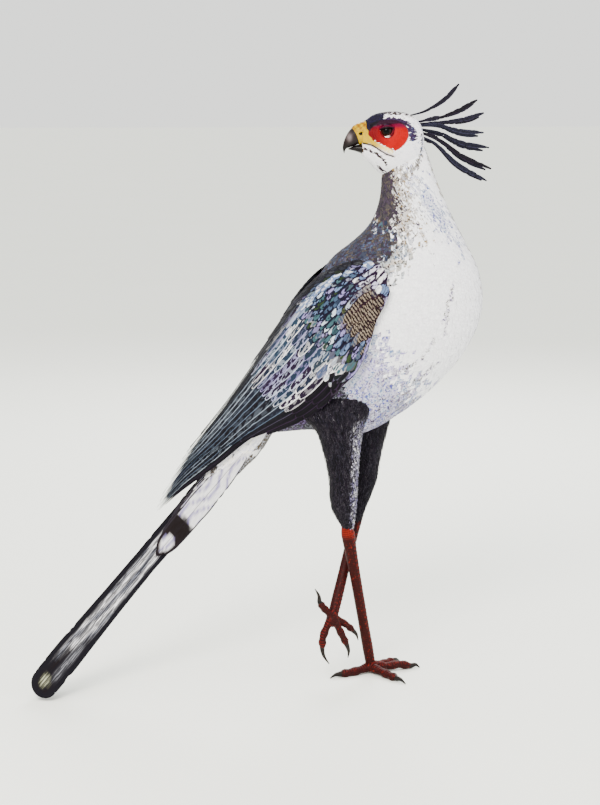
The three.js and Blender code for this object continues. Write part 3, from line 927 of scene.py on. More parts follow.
@dataclass
class Coat:
    """A stretch of small body feathers over a form.

    Sizes are in millimetres. Lie is 1 where they point along the form and -1 where they point back along it.
    """

    form: Form
    start: float
    stop: float
    spacing: float
    length: float
    width: float
    lie: int
    shape: VaneShape
    lift: float = 2.6
    sink: float = 1.6
    thickness: float = 0.5
    wander: float = 0.16
    seed: int = 1

    def grow(self, vanes: Vanes, keep: object, dress: object, scale: object = None) -> None:
        """Grows the feathers into a piece.

        Args:
            vanes: The piece that takes them.
            keep: Says for arrays of points which roots stay.
            dress: Gives the Dress for arrays of points, shares and angles.
            scale: Gives a size factor for points and shares, if it varies.
        """
        rng = np.random.default_rng(self.seed)
        share, angle = self.form.roots(self.start, self.stop, self.spacing, rng)
        points = self.form.at(share, angle)
        kept = keep(points)
        share, angle, points = share[kept], angle[kept], points[kept]
        number = len(share)
        factor = rng.uniform(0.82, 1.18, number)
        if scale is not None:
            factor = factor * scale(points, share)
        length = self.length * factor
        half = self.width / 2 * factor * rng.uniform(0.88, 1.12, number)
        t, across = self.shape.grid(number, rng)
        along_mm, around_mm = self.form.stretch(share, angle)
        swing = whole(rng.normal(0, self.wander, number))
        columns = self.shape.across
        round_off = self.shape.round_tip * whole(half) * columns**2 * t**4
        reach = t * whole(length) - round_off
        side = across * whole(half) + reach * np.sin(swing)
        reach = reach * np.cos(swing)
        at_share = whole(share) + self.lie * reach / whole(along_mm)
        at_angle = whole(angle) + side / whole(around_mm)
        lift = whole(self.lift * rng.uniform(0.7, 1.3, number))
        bow = self.shape.camber * whole(half) * (1 - columns**2)
        raised = -self.sink + (self.sink + lift) * t**0.8 + bow
        top = self.form.at(at_share, at_angle, raised)
        under = self.form.at(at_share, at_angle, raised - self.thickness * (1 - 0.6 * t))
        u = UNWRAP_EDGE + UNWRAP_SPAN * (angle / TURN + 0.5) % 1.0
        root = np.stack([u, UNWRAP_EDGE + UNWRAP_SPAN * np.clip(share, 0, 1)], -1)
        vanes.add(self.shape, top, under, (half, length), dress(points, share, angle, rng), root, rng)


def clear_of(skin: BVHTree, depth: float, points: Array) -> Array:
    """Finds which points lie on or near the open skin, not buried in another form.

    Args:
        skin: The skin's tree, in metres.
        depth: How far under the skin a root may lie.
        points: Points to test, in millimetres.

    Returns:
        True for each point that stays.
    """
    kept = np.ones(len(points), bool)
    for i, point in enumerate(points):
        spot = Vector(point) * MM
        found, normal = skin.find_nearest(spot)[:2]
        kept[i] = (spot - found).dot(normal) > -depth * MM
    return kept


TRUNK = Form([
    [-262, 548, -214, 510, 34], [-214, 655, -140, 514, 60], [-169, 748, -44, 504, 80],
    [-128, 815, 40, 545, 90], [-95, 859, 124, 614, 94], [-57, 889, 181, 690, 92], [-30, 914, 203, 760, 86],
    [-12, 943, 195, 828, 73], [-4, 970, 168, 885, 59], [-1, 995, 139, 940, 47], [0, 1016, 113, 996, 37],
    [3, 1036, 94, 1046, 29], [16, 1056, 82, 1080, 20],
])
NECK_START = 0.7
SKULL = Form([
    [80, 1100, 82, 1084, 7], [73, 1121, 80, 1054, 21], [52, 1137, 60, 1024, 30], [27, 1142, 30, 1015, 34],
    [2, 1141, 2, 1020, 33.5], [-18, 1136, -17, 1034, 28.5], [-33, 1126, -31, 1049, 22],
    [-42, 1121, -40, 1056, 17.5],
])
THIGHS = {
    Side.RIGHT: Form([
        [-20, 606, -158, 592, 26, -46], [-26, 566, -165, 556, 36, -50], [-42, 522, -134, 518, 37, -49],
        [-48, 470, -117, 466, 33, -46], [-51, 420, -107, 416, 28, -42], [-52, 386, -105, 382, 24.5, -38],
        [-53, 362, -101, 358, 21.5, -36], [-55, 341, -91, 338, 17, -33.5], [-57, 323, -81, 321, 12, -31.5],
        [-59, 311, -77, 310, 9.5, -30],
    ]),
    Side.LEFT: Form([
        [52, 600, -80, 590, 28, 46], [36, 556, -76, 548, 36, 49], [24, 510, -62, 500, 36, 50],
        [9, 450, -54, 444, 31, 49], [0, 398, -52, 392, 25, 47], [-12, 366, -52, 360, 20, 44],
        [-22, 342, -52, 336, 15.5, 41], [-30, 322, -52, 318, 11.5, 38], [-33, 310, -51, 308, 9, 36.5],
    ]),
}
WING_HULL = Form([
    [-28, 926, 190, 690, 106], [-78, 880, 140, 610, 110], [-126, 834, 55, 535, 109],
    [-169, 780, -40, 490, 101], [-214, 714, -125, 488, 87], [-262, 646, -190, 486, 71],
    [-312, 577, -250, 470, 57], [-362, 514, -310, 425, 45], [-412, 452, -370, 375, 35],
    [-458, 376, -428, 330, 25],
])
HULL_STATIONS = 9
TAIL_COVERTS = Form([
    [-262, 548, -214, 510, 32, 0], [-302, 502, -250, 464, 27, -1], [-337, 456, -288, 428, 21, -4],
    [-362, 416, -318, 396, 16, -8], [-386, 378, -347, 360, 11, -12], [-404, 346, -380, 328, 5, -16],
])
UPPER_BILL = Form([
    [-34, 1124, -33, 1081, 19], [-44, 1120.5, -42, 1080, 16.5], [-55, 1115.5, -50, 1078, 14],
    [-66, 1104.5, -58, 1075, 11], [-73.5, 1091, -65.5, 1072.5, 7.6], [-77.3, 1079, -70.8, 1070.5, 4.8],
    [-77.8, 1070, -73.6, 1065.5, 2.6], [-75.4, 1061.5, -74.7, 1060.8, 0.7],
])
LOWER_BILL = Form([
    [-34, 1080, -33, 1058, 16], [-44, 1079, -43, 1062, 12.5], [-54, 1076.8, -53, 1065.5, 9],
    [-61, 1074, -60.5, 1067.5, 5.6], [-67, 1071, -67, 1069, 1.6],
])


class Outline:
    """A closed smooth outline on the side of the head or the body, in x and z."""

    def __init__(self, corners: list[tuple[float, float]]) -> None:
        """Keeps the outline as short straight runs.

        Args:
            corners: Its points in order round it.
        """
        ring = Spline([*corners[-1:], *corners, *corners[:2]])
        last = len(corners) + 2
        self.ring = ring.at(np.linspace(1 / last, 1 - 1 / last, 6 * len(corners) + 1))

    def depth(self, points: Array) -> Array:
        """How far points lie inside the outline, negative outside."""
        spots = points[..., [0, 2]].reshape(-1, 2)
        start = self.ring[:-1]
        run = self.ring[1:] - start
        away = spots[:, None] - start[None]
        share = np.clip((away * run).sum(-1) / np.maximum((run**2).sum(-1), 1e-9), 0, 1)
        distance = lengths(away - share[..., None] * run).min(axis=1)
        above = start[:, 1] > spots[:, None, 1]
        crosses = above != (self.ring[1:, 1] > spots[:, None, 1])
        height = np.where(np.abs(run[:, 1]) < 1e-9, 1e-9, run[:, 1])
        where = start[:, 0] + (spots[:, None, 1] - start[:, 1]) / height * run[:, 0]
        inside = (crosses & (spots[:, None, 0] < where)).sum(axis=1) % 2 == 1
        return np.where(inside, distance, -distance).reshape(points.shape[:-1])


def from_line(line: tuple, points: Array) -> Array:
    """Distance of points from a smooth line, in x and z."""
    return lengths(points[..., None, [0, 2]] - Spline(line).at(np.linspace(0, 1, 60))).min(axis=-1)


@dataclass(frozen=True)
class FaceMap:
    """Where the markings of the face lie, seen from the side, in x and z."""

    eye: tuple[float, float] = (5.0, 1105.0)
    bare: Outline = Outline([
        (-35, 1099), (-30, 1109), (-18, 1115), (0, 1118), (18, 1120), (33, 1120), (43, 1112), (47, 1100),
        (45, 1089), (38, 1079), (29, 1071), (21, 1067), (8, 1071), (-8, 1079), (-22, 1086), (-33, 1093),
    ])
    brow: Outline = Outline([
        (-24, 1114), (-12, 1126), (6, 1131), (22, 1130), (38, 1125), (50, 1116), (57, 1102), (57, 1090),
        (48, 1086), (47, 1100), (42, 1113), (32, 1119), (14, 1118), (-4, 1117),
    ])
    lore: Outline = Outline([
        (-48, 1118), (-42, 1130), (-30, 1139), (-14, 1144), (-4, 1138), (-8, 1126), (-20, 1115), (-30, 1106),
        (-40, 1110),
    ])
    stripe: Outline = Outline([
        (-42, 1099), (-34, 1095), (-22, 1087), (-8, 1080), (8, 1072), (17, 1066), (15, 1061), (4, 1065),
        (-14, 1074), (-28, 1081), (-42, 1084),
    ])
    cere: Outline = Outline([
        (-66, 1112), (-56, 1122), (-44, 1119), (-31, 1106), (-31, 1098), (-24, 1090), (-28, 1083),
        (-39, 1081), (-52, 1081), (-62, 1090),
    ])
    mouth: tuple = ((-52, 1082), (-39, 1081), (-25, 1078), (-13, 1071), (1, 1062), (11, 1058), (18, 1056))
    cheek: tuple = ((69, 1099), (70, 1083), (70, 1066), (63, 1048), (51, 1037), (33, 1022), (15, 1020),
                    (0, 1026), (-14, 1040))
    chin: tuple = ((-40, 1072), (-24, 1066), (-10, 1056), (-2, 1044))
    ridge_height: float = 4.2
    socket_depth: float = 3.6
    wrinkle_height: float = 0.2
    lip_height: float = 0.9
    groove_depth: float = 1.7
    brow_ridge: tuple = ((-22, 1116), (-8, 1120), (6, 1121.5), (20, 1121), (32, 1117), (40, 1110))

    def open_skin(self, points: Array) -> Array:
        """How far points lie inside the face's bare skin, negative under feathers."""
        sides = np.maximum(self.bare.depth(points), self.stripe.depth(points))
        return np.maximum(sides, self.cere.depth(points))

    def relief(self, points: Array) -> Array:
        """Height of the folds of the face over the plain form."""
        sideways = smooth(8, 16, np.abs(points[:, 1]))
        bare = smooth(-2.0, 1.5, self.open_skin(points))
        away = points[:, [0, 2]] - np.array(self.eye)
        from_eye = lengths(away)
        ridge = self.ridge_height * bell(from_line(self.brow_ridge, points), 4.6)
        hollow = -self.socket_depth * bell(from_eye, 14.5, 4)
        angle = np.arctan2(away[:, 1], away[:, 0])
        rings = np.sin(from_eye * 1.45 + 0.8 * np.sin(angle * 5)) * smooth(12, 16, from_eye)
        from_mouth = from_line(self.mouth, points)
        lip = self.lip_height * bell(from_mouth - 2.8, 1.8)
        groove = -self.groove_depth * bell(from_mouth, 1.2)
        return sideways * (ridge + hollow + bare * (self.wrinkle_height * rings) + lip + groove)

    def tones(self, points: Array) -> Array:
        """Colours of the bare skin, and of the skin between the face's feathers, with painted shade in the
        gape's groove.
        """
        x, y, z = points.T
        from_eye = lengths(points[:, [0, 2]] - np.array(self.eye))
        red = mix("#8e0302", "#5a0208", smooth(12, -22, x)[:, None])
        red = dyed(red, ("#5c0326", smooth(1108, 1116, z)), ("#2c020a", smooth(15.5, 12.5, from_eye) * 0.8))
        yellow = "#ab8b00"
        stripe = mix(yellow, "#e0cd92", smooth(-22, 10, x)[:, None])
        # Painted shade: a dark line in the groove along the gape.
        line = smooth(2.4, 0.9, from_line(self.mouth, points)) * smooth(6, 14, np.abs(y))
        return dyed(
            np.broadcast_to(linear("#d8cfd2"), points.shape),
            (red, smooth(-1.2, 0.6, self.bare.depth(points))),
            (stripe, smooth(-1.0, 0.8, self.stripe.depth(points))),
            ("#1f0718", smooth(-1.5, 1.5, self.brow.depth(points))),
            ("#0d0a10", smooth(-1.5, 1.5, self.lore.depth(points))),
            (yellow, smooth(-0.8, 0.8, self.cere.depth(points))),
            ("#140d10", line),
        )

    def feathers(self, points: Array, rng: Rng) -> tuple[Array, Array]:
        """Web and rim colours of the small feathers of the head."""
        number = len(points)
        x, _, z = points.T
        web = mix(Tint.SNOW, Tint.PEARL, rng.uniform(0, 1, number)[:, None] * 0.6)
        rim = np.broadcast_to(Tint.SNOW.rgb, (number, 3))
        crown = smooth(1128, 1139, z) * smooth(8, 30, x)
        web = np.where((rng.uniform(0, 1, number) < crown * 0.5)[:, None], Tint.OLIVE.rgb, web)
        top = smooth(1135.0, 1138.0, z) * smooth(-14, -4, x)
        # The cheek line is painted shade along the back and lower edge of the cheek, where the head meets
        # the neck.
        lines = np.maximum(top * 0.85, smooth(2.8, 1.6, from_line(self.cheek, points)) * 0.85)
        lines = np.maximum(lines, smooth(2.6, 1.4, from_line(self.chin, points)) * 0.9)
        inked = (rng.uniform(0, 1, number) < lines)[:, None]
        web = np.where(inked, Tint.UMBER.rgb * 0.6, web)
        rim = np.where(inked, Tint.PLUM.rgb, rim)
        for outline, dark in ((self.brow, Tint.PLUM.rgb), (self.lore, Tint.INK.rgb)):
            share = (outline.depth(points) > rng.uniform(-2.0, 1.0, number))[:, None]
            web = np.where(share, dark, web)
            rim = np.where(share, mix(dark, "#2a1c5c", 0.2), rim)
        nape = smooth(40, 70, x) * (rng.uniform(0, 1, number) < 0.3)
        return web, dyed(rim, (Tint.STEEL, nape))


FACE = FaceMap()


def body_tones(points: Array, share: Array, angle: Array, rng: Rng) -> tuple[Array, Array]:
    """Markings of trunk and neck: pale below, a dark mantle, a stippled hindneck, painted shade on the lower
    belly, down the front edge and under the head.

    Args:
        points: Roots of the feathers.
        share: Their places along the trunk.
        angle: Their angles from the back.
        rng: Source of the stipple.

    Returns:
        Web and rim colours.
    """
    draw = rng.uniform(0, 1, (len(points), 4))
    away = np.abs(angle)
    x, _, z = points.T
    web = mix(Tint.SNOW, Tint.PEARL, draw[:, :1] * 0.2)
    rim = np.broadcast_to(linear("#fdfdff"), web.shape).copy()
    # Painted shade: lavender and violet stipple on the belly, more of it lower down and further back, under
    # the body and the wing; the second row of marks deepens it near the bottom.
    low = np.clip((730 - z) / 150 + (40 - x) / 140, 0, 1) * smooth(840, 700, z)
    throat = np.exp(-(((x - 92 + (z - 968) * 0.6) / 19) ** 2 + ((z - 968) / 54) ** 2))
    # Painted shade: dark stipple on the neck along the cheek's lower edge, under the head.
    shade_under_head = smooth(7, 3, from_line(FACE.cheek, points)) * (z > 990)
    neck = smooth(NECK_START - 0.16, NECK_START - 0.04, share)
    front = neck * smooth(0.5, 0.2, math.pi - away)
    back = (1 - neck) * smooth(0.25, 0.4, share)
    mantle = (1 - neck) * smooth(1.05, 0.75, away)
    marks = (
        (low * 1.05, "LAVENDER STEEL HEATHER VIOLET", 0.5, 1, ""),
        (low * smooth(640, 560, z) * 0.4, "HEATHER PLUM UMBER", 0.5, 2, "PLUM VIOLET"),
        (throat * 1.1, "STEEL VIOLET", 0.25, 3, ""),
        (shade_under_head * 0.85, "UMBER PLUM OLIVE", 0.6, 2, ""),
        *(((from_line(line, points) < 3.6) * 0.9, "UMBER HEATHER", 0.15, 0, "") for line in BREAST_STREAKS),
        (neck * smooth(2.0, 1.3, away) * 0.4, "TAN DOVE UMBER", 0.08, 1, ""),
        (neck * smooth(1.5, 0.9, away), "OCHRE TAN UMBER OLIVE", 0.5, 2, "UMBER OCHRE PLUM"),
        (neck * smooth(1.05, 0.6, away), "INK PLUM MANTLE", 0.97, 3, "PLUM MANTLE UMBER"),
        # Painted shade: olive and tan stipple down the front edge of the neck.
        (front * 0.9, "OLIVE TAN UMBER", 0.35, 0, ""),
        (back * smooth(1.35, 1.0, away), "OLIVE TAN TEAL DOVE", 0.6, 1, "MANTLE UMBER SLATE"),
        (mantle, "MANTLE NAVY PLUM INK", 0.97, 2, "UMBER NAVY SLATE PLUM"),
        ((FLANK.depth(points) > 0) * 1.0, "INK PLUM", 0.97, 3, "ASH HEATHER"),
    )
    for density, tints, depth, column, specks in marks:
        picked = (draw[:, column] < density)[:, None]
        chance = draw[:, (column + 1) % 4]
        tint = one_of(tints, chance)
        web = np.where(picked, mix(web, tint, depth), web)
        rim = np.where(picked, one_of(specks, chance) if specks else tint, rim)
    # Painted shade: a grey-olive band down the front edge of neck and breast.
    edge = smooth(0.15, 0.04, math.pi - away) * smooth(0.3, 0.42, share) * smooth(0.97, 0.85, share)
    return dyed(web, (Tint.SHADOW, edge * 0.7)), dyed(rim, (Tint.SHADOW, edge * 0.7))


def one_of(names: str, chance: Array) -> Array:
    """Picks one of a few tints for each chance from 0 to 1."""
    tints = np.array([Tint[name].rgb for name in names.split()])
    return tints[np.minimum((chance * len(tints)).astype(int), len(tints) - 1)]


BREAST_STREAKS = (
    ((105, 719), (89, 689), (59, 664), (14, 637)),
    ((113, 665), (87, 646), (62, 618), (42, 588)),
    ((133, 833), (129, 797), (126, 762), (128, 726)),
)
FLANK = Outline([
    (-236, 500), (-224, 545), (-176, 590), (-133, 625), (-95, 650), (-69, 620), (-62, 562), (-73, 510),
    (-129, 495), (-172, 488), (-232, 478),
])


def thigh_tones(points: Array, angle: Array, rng: Rng) -> tuple[Array, Array, Array]:
    """Markings of the thighs: black with pale flecks down the front.

    Args:
        points: Roots of the feathers.
        angle: Their angles from the front edge, towards the outside.
        rng: Source of the flecks.

    Returns:
        Web and rim colours, and shares of specks.
    """
    draw = rng.uniform(0, 1, (len(points), 3))
    web = mix(Tint.INK.rgb * 0.6, Tint.PLUM, draw[:, :1] * 0.25)
    front = smooth(0.8, 0.3, np.abs(angle - 0.5)) * smooth(575, 520, points[:, 2])
    pale = mix(Tint.LAVENDER, Tint.SNOW, draw[:, :1])
    return web, mix(web, pale, 0.12 + 0.78 * front[:, None]), front + 0.12 * (draw[:, 2] < 0.4)


@dataclass
class BodySkin:
    """One skin over trunk, neck, head and thighs, under the feathers by the depth of the coat."""

    body_depth: float = 2.2
    neck_depth: float = 1.6
    thigh_depth: float = 3.0
    head_depth: float = 1.2
    voxel: float = 4.5
    head_floor: float = 1014.0

    def head_place(self, share: Array, angle: Array) -> Array:
        """Places of the head's skin."""
        plain = SKULL.at(share, angle)
        bare = smooth(-2.0, 0.5, FACE.open_skin(plain))
        return SKULL.at(share, angle, FACE.relief(plain) - self.head_depth * (1 - bare))

    def build(self) -> Piece:
        """Makes the skin and paints it like the coat over it."""
        def trunk(share: Array, angle: Array) -> Array:
            """Places of the skin of trunk and neck."""
            return TRUNK.at(share, angle, -mix(self.body_depth, self.neck_depth, smooth(0.6, 0.8, share)))

        pieces = [wrapped("trunk", trunk, 90, 48)]
        for form in THIGHS.values():
            def thigh(share: Array, angle: Array, form: Form = form) -> Array:
                """Places of a thigh's skin."""
                return form.at(share, angle, -self.thigh_depth * smooth(1.0, 0.9, share))

            pieces.append(wrapped("thigh", thigh, 50, 32))
        pieces.insert(1, wrapped("rump", lambda s, a: TAIL_COVERTS.at(s * 0.8, a, -3.0), 30, 24))
        body = fused("skin", pieces, self.voxel, 2)
        head = wrapped("head_skin", self.head_place, 190, 216)
        select_only(body)
        apply_modifier(body, "BOOLEAN", operation="UNION", object=head, solver="MANIFOLD")
        bpy.data.objects.remove(head)
        select_only(body)
        bpy.ops.object.shade_smooth()
        points = points_of(body)
        leg = smooth(560, 530, points[:, 2]) * (points[:, 0] > -170)
        tone = dyed(np.broadcast_to(linear("#cfc9d2"), points.shape), (Tint.INK, leg))
        head = points[:, 2] > self.head_floor
        tone[head] = FACE.tones(points[head])
        paint(body, "tone", tone)
        finish_piece(body, "pale_feathers", SoftSkin("bird skin, living").material(),
                     "torso", "neck", "head", "thigh_right", "thigh_left")
        return body


def shrinking(most: float, less: float, start: float) -> object:
    """Makes the rule for feathers that get smaller from a share on to the form's end."""
    return lambda points, share: most - less * smooth(start, 1.0, share)


@dataclass
class BodyCoat:
    """Small feathers of trunk, neck, head, thighs and tail root."""

    tree: BVHTree
    white: Material
    dark: Material
    trunk_stretches: tuple = (
        ("coat_breast", 0.46, NECK_START + 0.01, 6.6, 24.0, 11), ("coat_flanks", 0.35, 0.47, 6.6, 24.0, 12),
        ("coat_belly", 0.24, 0.36, 6.8, 24.0, 14), ("coat_rump", 0.0, 0.25, 6.8, 25.0, 13),
    )

    def build(self) -> None:
        """Makes each stretch of the coat as a piece of its own."""
        for name, start, stop, spacing, length, seed in self.trunk_stretches:
            coat = Coat(TRUNK, start, stop, spacing, length, 10.5, -1, DOWN, seed=seed, lift=0.9, sink=1.4,
                        thickness=0.25, wander=0.09)
            self.grow(name, coat, 6.0, self.body_dress)
        coat = Coat(TRUNK, NECK_START - 0.02, 0.995, 4.7, 17.0, 6.8, -1, DOWN, seed=21, lift=0.7, sink=1.2,
                    thickness=0.22, wander=0.09)
        self.grow("coat_neck", coat, 4.0, self.body_dress, shrinking(1.15, 0.5, NECK_START))
        coat = Coat(SKULL, 0.02, 0.985, 2.7, 8.0, 3.0, -1, TUFT, seed=31, lift=0.35, sink=0.7,
                    thickness=0.16, wander=0.14)
        self.grow("coat_head", coat, 2.6, self.head_dress, self.head_scale)
        coat = Coat(TAIL_COVERTS, 0.0, 0.93, 10.0, 52.0, 18.0, 1, POINTED, seed=41, lift=3.0, sink=2.0)
        self.grow("coat_tail_root", coat, None, self.root_dress)
        for side, form in THIGHS.items():
            coat = Coat(form, 0.0, 0.985, 5.0, 22.0, 5.6, 1, POINTED, seed=50 + side.value, lift=2.4,
                        sink=2.0, wander=0.2, thickness=0.3)

            def dress(points: Array, share: Array, angle: Array, rng: Rng, sign: int = side.value) -> Dress:
                """Colours of the thigh's feathers."""
                web, rim, mottle = thigh_tones(points, angle * sign, rng)
                return Dress(web, rim, 0.2, mottle=mottle)

            self.grow("coat_thigh_" + side.word, coat, 6.0, dress, shrinking(1.1, 0.55, 0.7))

    def grow(self, name: str, coat: Coat, depth: float | None, dress: object, scale: object = None) -> None:
        """Grows a coat as one piece.

        Args:
            name: The piece's name.
            coat: Its feathers.
            depth: How far under the skin a root may lie, or None where all stay.
            dress: Gives their colours.
            scale: Gives their size factors.
        """
        def keep(points: Array) -> Array:
            """Leaves out roots that are buried or on the bare face."""
            kept = np.ones(len(points), bool) if depth is None else clear_of(self.tree, depth, points)
            if coat.form is SKULL:
                open_ones = (FACE.open_skin(points) > 1.3) | (from_line(FACE.mouth, points) < 3.0)
                kept &= ~(open_ones & (np.abs(points[:, 1]) > 9))
            return kept

        vanes = Vanes(name)
        coat.grow(vanes, keep, dress, scale)
        slot, material = "pale_feathers", self.white
        if coat.form is SKULL:
            slot = "face_feathers"
        if "thigh" in name:
            slot, material = "dark_feathers", self.dark
        finish_piece(vanes.build(), slot, material)

    def body_dress(self, points: Array, share: Array, angle: Array, rng: Rng) -> Dress:
        """Colours of the feathers of trunk and neck."""
        return Dress(*body_tones(points, share, angle, rng), 0.4)

    def head_dress(self, points: Array, share: Array, angle: Array, rng: Rng) -> Dress:
        """Colours of the head's feathers."""
        return Dress(*FACE.feathers(points, rng), 0.5)

    def head_scale(self, points: Array, share: Array) -> Array:
        """Smaller feathers near the bill and the bare face."""
        near = smooth(14, 1, -FACE.open_skin(points)) * 0.35
        return 1.25 - near - 0.35 * smooth(0.35, 0.95, share)

    def root_dress(self, points: Array, share: Array, angle: Array, rng: Rng) -> Dress:
        """Pale coverts at the sides of the tail's root, dusky ones along its top, and painted shade as dusky
        ones along its underside.
        """
        web = mix(Tint.SNOW, Tint.CREAM, rng.uniform(0, 1, (len(points), 1)) * 0.5)
        # The dusky band along the underside is painted shade under the tail's root.
        edge = np.maximum(smooth(1.2, 0.6, np.abs(angle)), smooth(2.2, 2.45, np.abs(angle)))
        above = (rng.uniform(0, 1, len(points)) < edge * 0.9)[:, None]
        rim = np.where(above, Tint.DOVE.rgb, Tint.PEARL.rgb)
        return Dress(np.where(above, Tint.UMBER.rgb, web), rim, 1.0, shaft=0.25)


@dataclass
class WingRow:
    """A row of feathers on a folded wing.

    Stations run back along the wing, shares from its lower edge up, and heights out from the wings' hull.
    """

    count: int
    root: float
    tips: list[float]
    raised: float
    lap: float
    shape: VaneShape
    shaft: float = 0.5
    low: tuple[float, float] = (0, 1)
    high: tuple[float, float] = (0, 1)


WIDEST_ROW = 3


@dataclass
class Wing:
    """A folded wing: a feathered arm, then tiers of coverts, secondaries and primaries."""

    side: Side
    material: Material
    skin: Material
    start: float = 0.5
    top_edge: tuple[float, ...] = (44, 33, 23, 15, 10, 6, 4, 3, 3, 3, 3, 3.5, 4, 4, 5, 6, 8, 10)
    low_edge: tuple[float, ...] = (65, 72, 77, 87, 95, 99, 107, 115, 121, 124, 126, 127, 127, 124, 117, 108,
                                   98, 86)
    arm_faces: tuple[float, ...] = (-5, 0, 0.5, 0.5, -1, -3.5, -6, -9.5, -12)
    arm_depths: tuple[float, ...] = (5, 16, 26, 28, 28, 24, 18, 9, 2.5)
    gap: float = 0.7
    covert_row: float = 0.14
    covert_width: float = 11.0

    def rows(self) -> list[WingRow]:
        """The tiers from the inside out: primaries, secondaries, two of greater, two of median coverts."""
        return [
            WingRow(10, 3.5, [8.6, 8.95, 9.05, 8.9, 8.95, 8.6, 8.75, 8.25, 8.0, 7.4], -9.0, 1.6, FLIGHT, 0.6,
                    (0.12, 0.78), (0.1, 0.82)),
            WingRow(14, 3.3, [5.2, 5.7, 6.1, 6.5, 6.8, 7.1, 7.4, 7.6, 7.8, 7.9, 7.8, 7.6, 7.3, 6.9], -5.6,
                    1.6, FLIGHT, 0.6),
            WingRow(18, 2.8, [4.2, 4.5, 4.8, 5.0, 5.1, 5.1, 5.0, 4.8], -2.2, 1.5, COVERT),
            WingRow(17, 2.5, [3.7, 4.0, 4.3, 4.4, 4.5, 4.4, 4.2], -0.6, 1.5, COVERT),
            WingRow(16, 2.1, [3.2, 3.4, 3.6, 3.7, 3.7, 3.6], 0.9, 1.5, COVERT),
            WingRow(17, 1.75, [2.75, 2.9, 3.1, 3.2, 3.2, 3.1], 1.8, 1.5, COVERT),
        ]

    def at(self, station: Array, share: Array, raised: Array) -> Array:
        """Finds points of the folded wing.

        Args:
            station: Places back along the hull.
            share: Shares from the wing's lower edge up.
            raised: Heights out from the hull.

        Returns:
            A point for each place.
        """
        along = (station - self.start) / (HULL_STATIONS - self.start)
        angle = np.radians(mix(profile(self.low_edge, along), profile(self.top_edge, along), share))
        point = WING_HULL.at(station / HULL_STATIONS, angle, raised)
        point[..., 1] = self.side.value * np.maximum(point[..., 1], self.gap)
        return point

    def arm(self) -> Piece:
        """Makes the fleshy arm under the coverts."""
        def place(share: Array, angle: Array) -> Array:
            """Wraps a ball's rings along the arm, flattened to its thickness."""
            across = np.clip(-np.cos(angle) * 1.02, -1, 1)
            rounding = 1 - np.abs(across) ** 5
            raised = mix(-7.0, profile(self.arm_faces, share) - 1.6, rounding)
            thick = mix(2.0, profile(self.arm_depths, share), rounding)
            front = 0.62 + 0.4 * np.abs(across) ** 3
            down = np.where(np.sin(angle) >= 0, 0.0, 1.0)
            return self.at(mix(front, 4.4, share), 0.5 + 0.5 * across, raised - down * thick)

        return wrapped("wing_arm", place, 60, 64)

    def tones(self, station: Array, share: Array, rng: Rng) -> tuple[Array, ...]:
        """Colours of the wing's feathers by their place.

        Args:
            station: Places of the feathers' middles back along the wing.
            share: Shares from the wing's lower edge up.
            rng: Source of the variation.

        Returns:
            Web and rim colours, rim widths, strengths of the bars and shares of specks.
        """
        number = len(station)
        draw = rng.uniform(0, 1, (number, 4))
        web = np.where(draw[:, 1:2] < 0.7, mix(Tint.SNOW, Tint.LAVENDER, draw[:, :1] ** 1.5), Tint.STEEL.rgb)
        rim = np.broadcast_to(linear("#1d0c24"), (number, 3))
        blue = one_of("STEEL TEAL SLATE FROST STEEL TEAL FROST LAVENDER SLATE MOSS", draw[:, 1])
        middle = smooth(1.1, 1.8, station + 0.9 * (share - 0.55) + 0.6 * (draw[:, 2] - 0.5))
        bars = smooth(0.44, 0.34, share) * smooth(1.15, 1.3, station) * smooth(2.35, 2.1, station)
        long_ones = smooth(2.75, 3.1, station)
        dusk = np.where(draw[:, 1:2] < 0.3, linear("#21152a"), mix("#171a2c", "#24384a", draw[:, :1]))
        edge = np.where(draw[:, 2:3] < 0.35, Tint.SNOW.rgb, mix(Tint.FROST, Tint.LAVENDER, draw[:, 3:]))
        flight = smooth(4.8, 5.3, station)
        night = mix(Tint.INK, Tint.NAVY, draw[:, :1] * 0.8) * 0.7
        quill = mix(Tint.SLATE, Tint.FROST, draw[:, 1:2] * 0.8)
        back = smooth(0.8, 0.88, share)
        light = smooth(0.73, 0.75, share) * smooth(0.82, 0.8, share) * smooth(3.4, 2.8, station)
        ledge = mix(0.05, 0.2, smooth(2.6, 3.4, station))
        low = smooth(ledge + 0.02, ledge - 0.03, share) * smooth(2.5, 2.9, station)
        bright = bell(share - ledge - 0.06, 0.04) * smooth(2.5, 2.8, station) * smooth(5.0, 4.6, station)
        web = dyed(web, (blue, middle), (Tint.UMBER, bars * 0.6), (dusk, long_ones), (night, flight),
                   ("#1b191b", back * 0.95), (Tint.SNOW, light * 0.8), (Tint.INK.rgb * 0.6, low))
        rim = dyed(rim, ("#100e1f", middle), ("#2b1518", bars * 0.7), (edge, long_ones), (quill, flight),
                   (Tint.INK, back * 0.9), (Tint.STEEL, light * 0.9), (Tint.PLUM, low), (Tint.SNOW, bright))
        width = mix(mix(mix(mix(2.9, 1.6, bars), 1.9, long_ones), 1.2, flight), 3.2, bright)
        mottle = mix(mix(0.8, 0.42, long_ones), 0.09, flight)
        return web, rim, width, bars, mottle * (1 - 0.8 * bars) * (1 - 0.9 * low) * (1 - 0.5 * back)

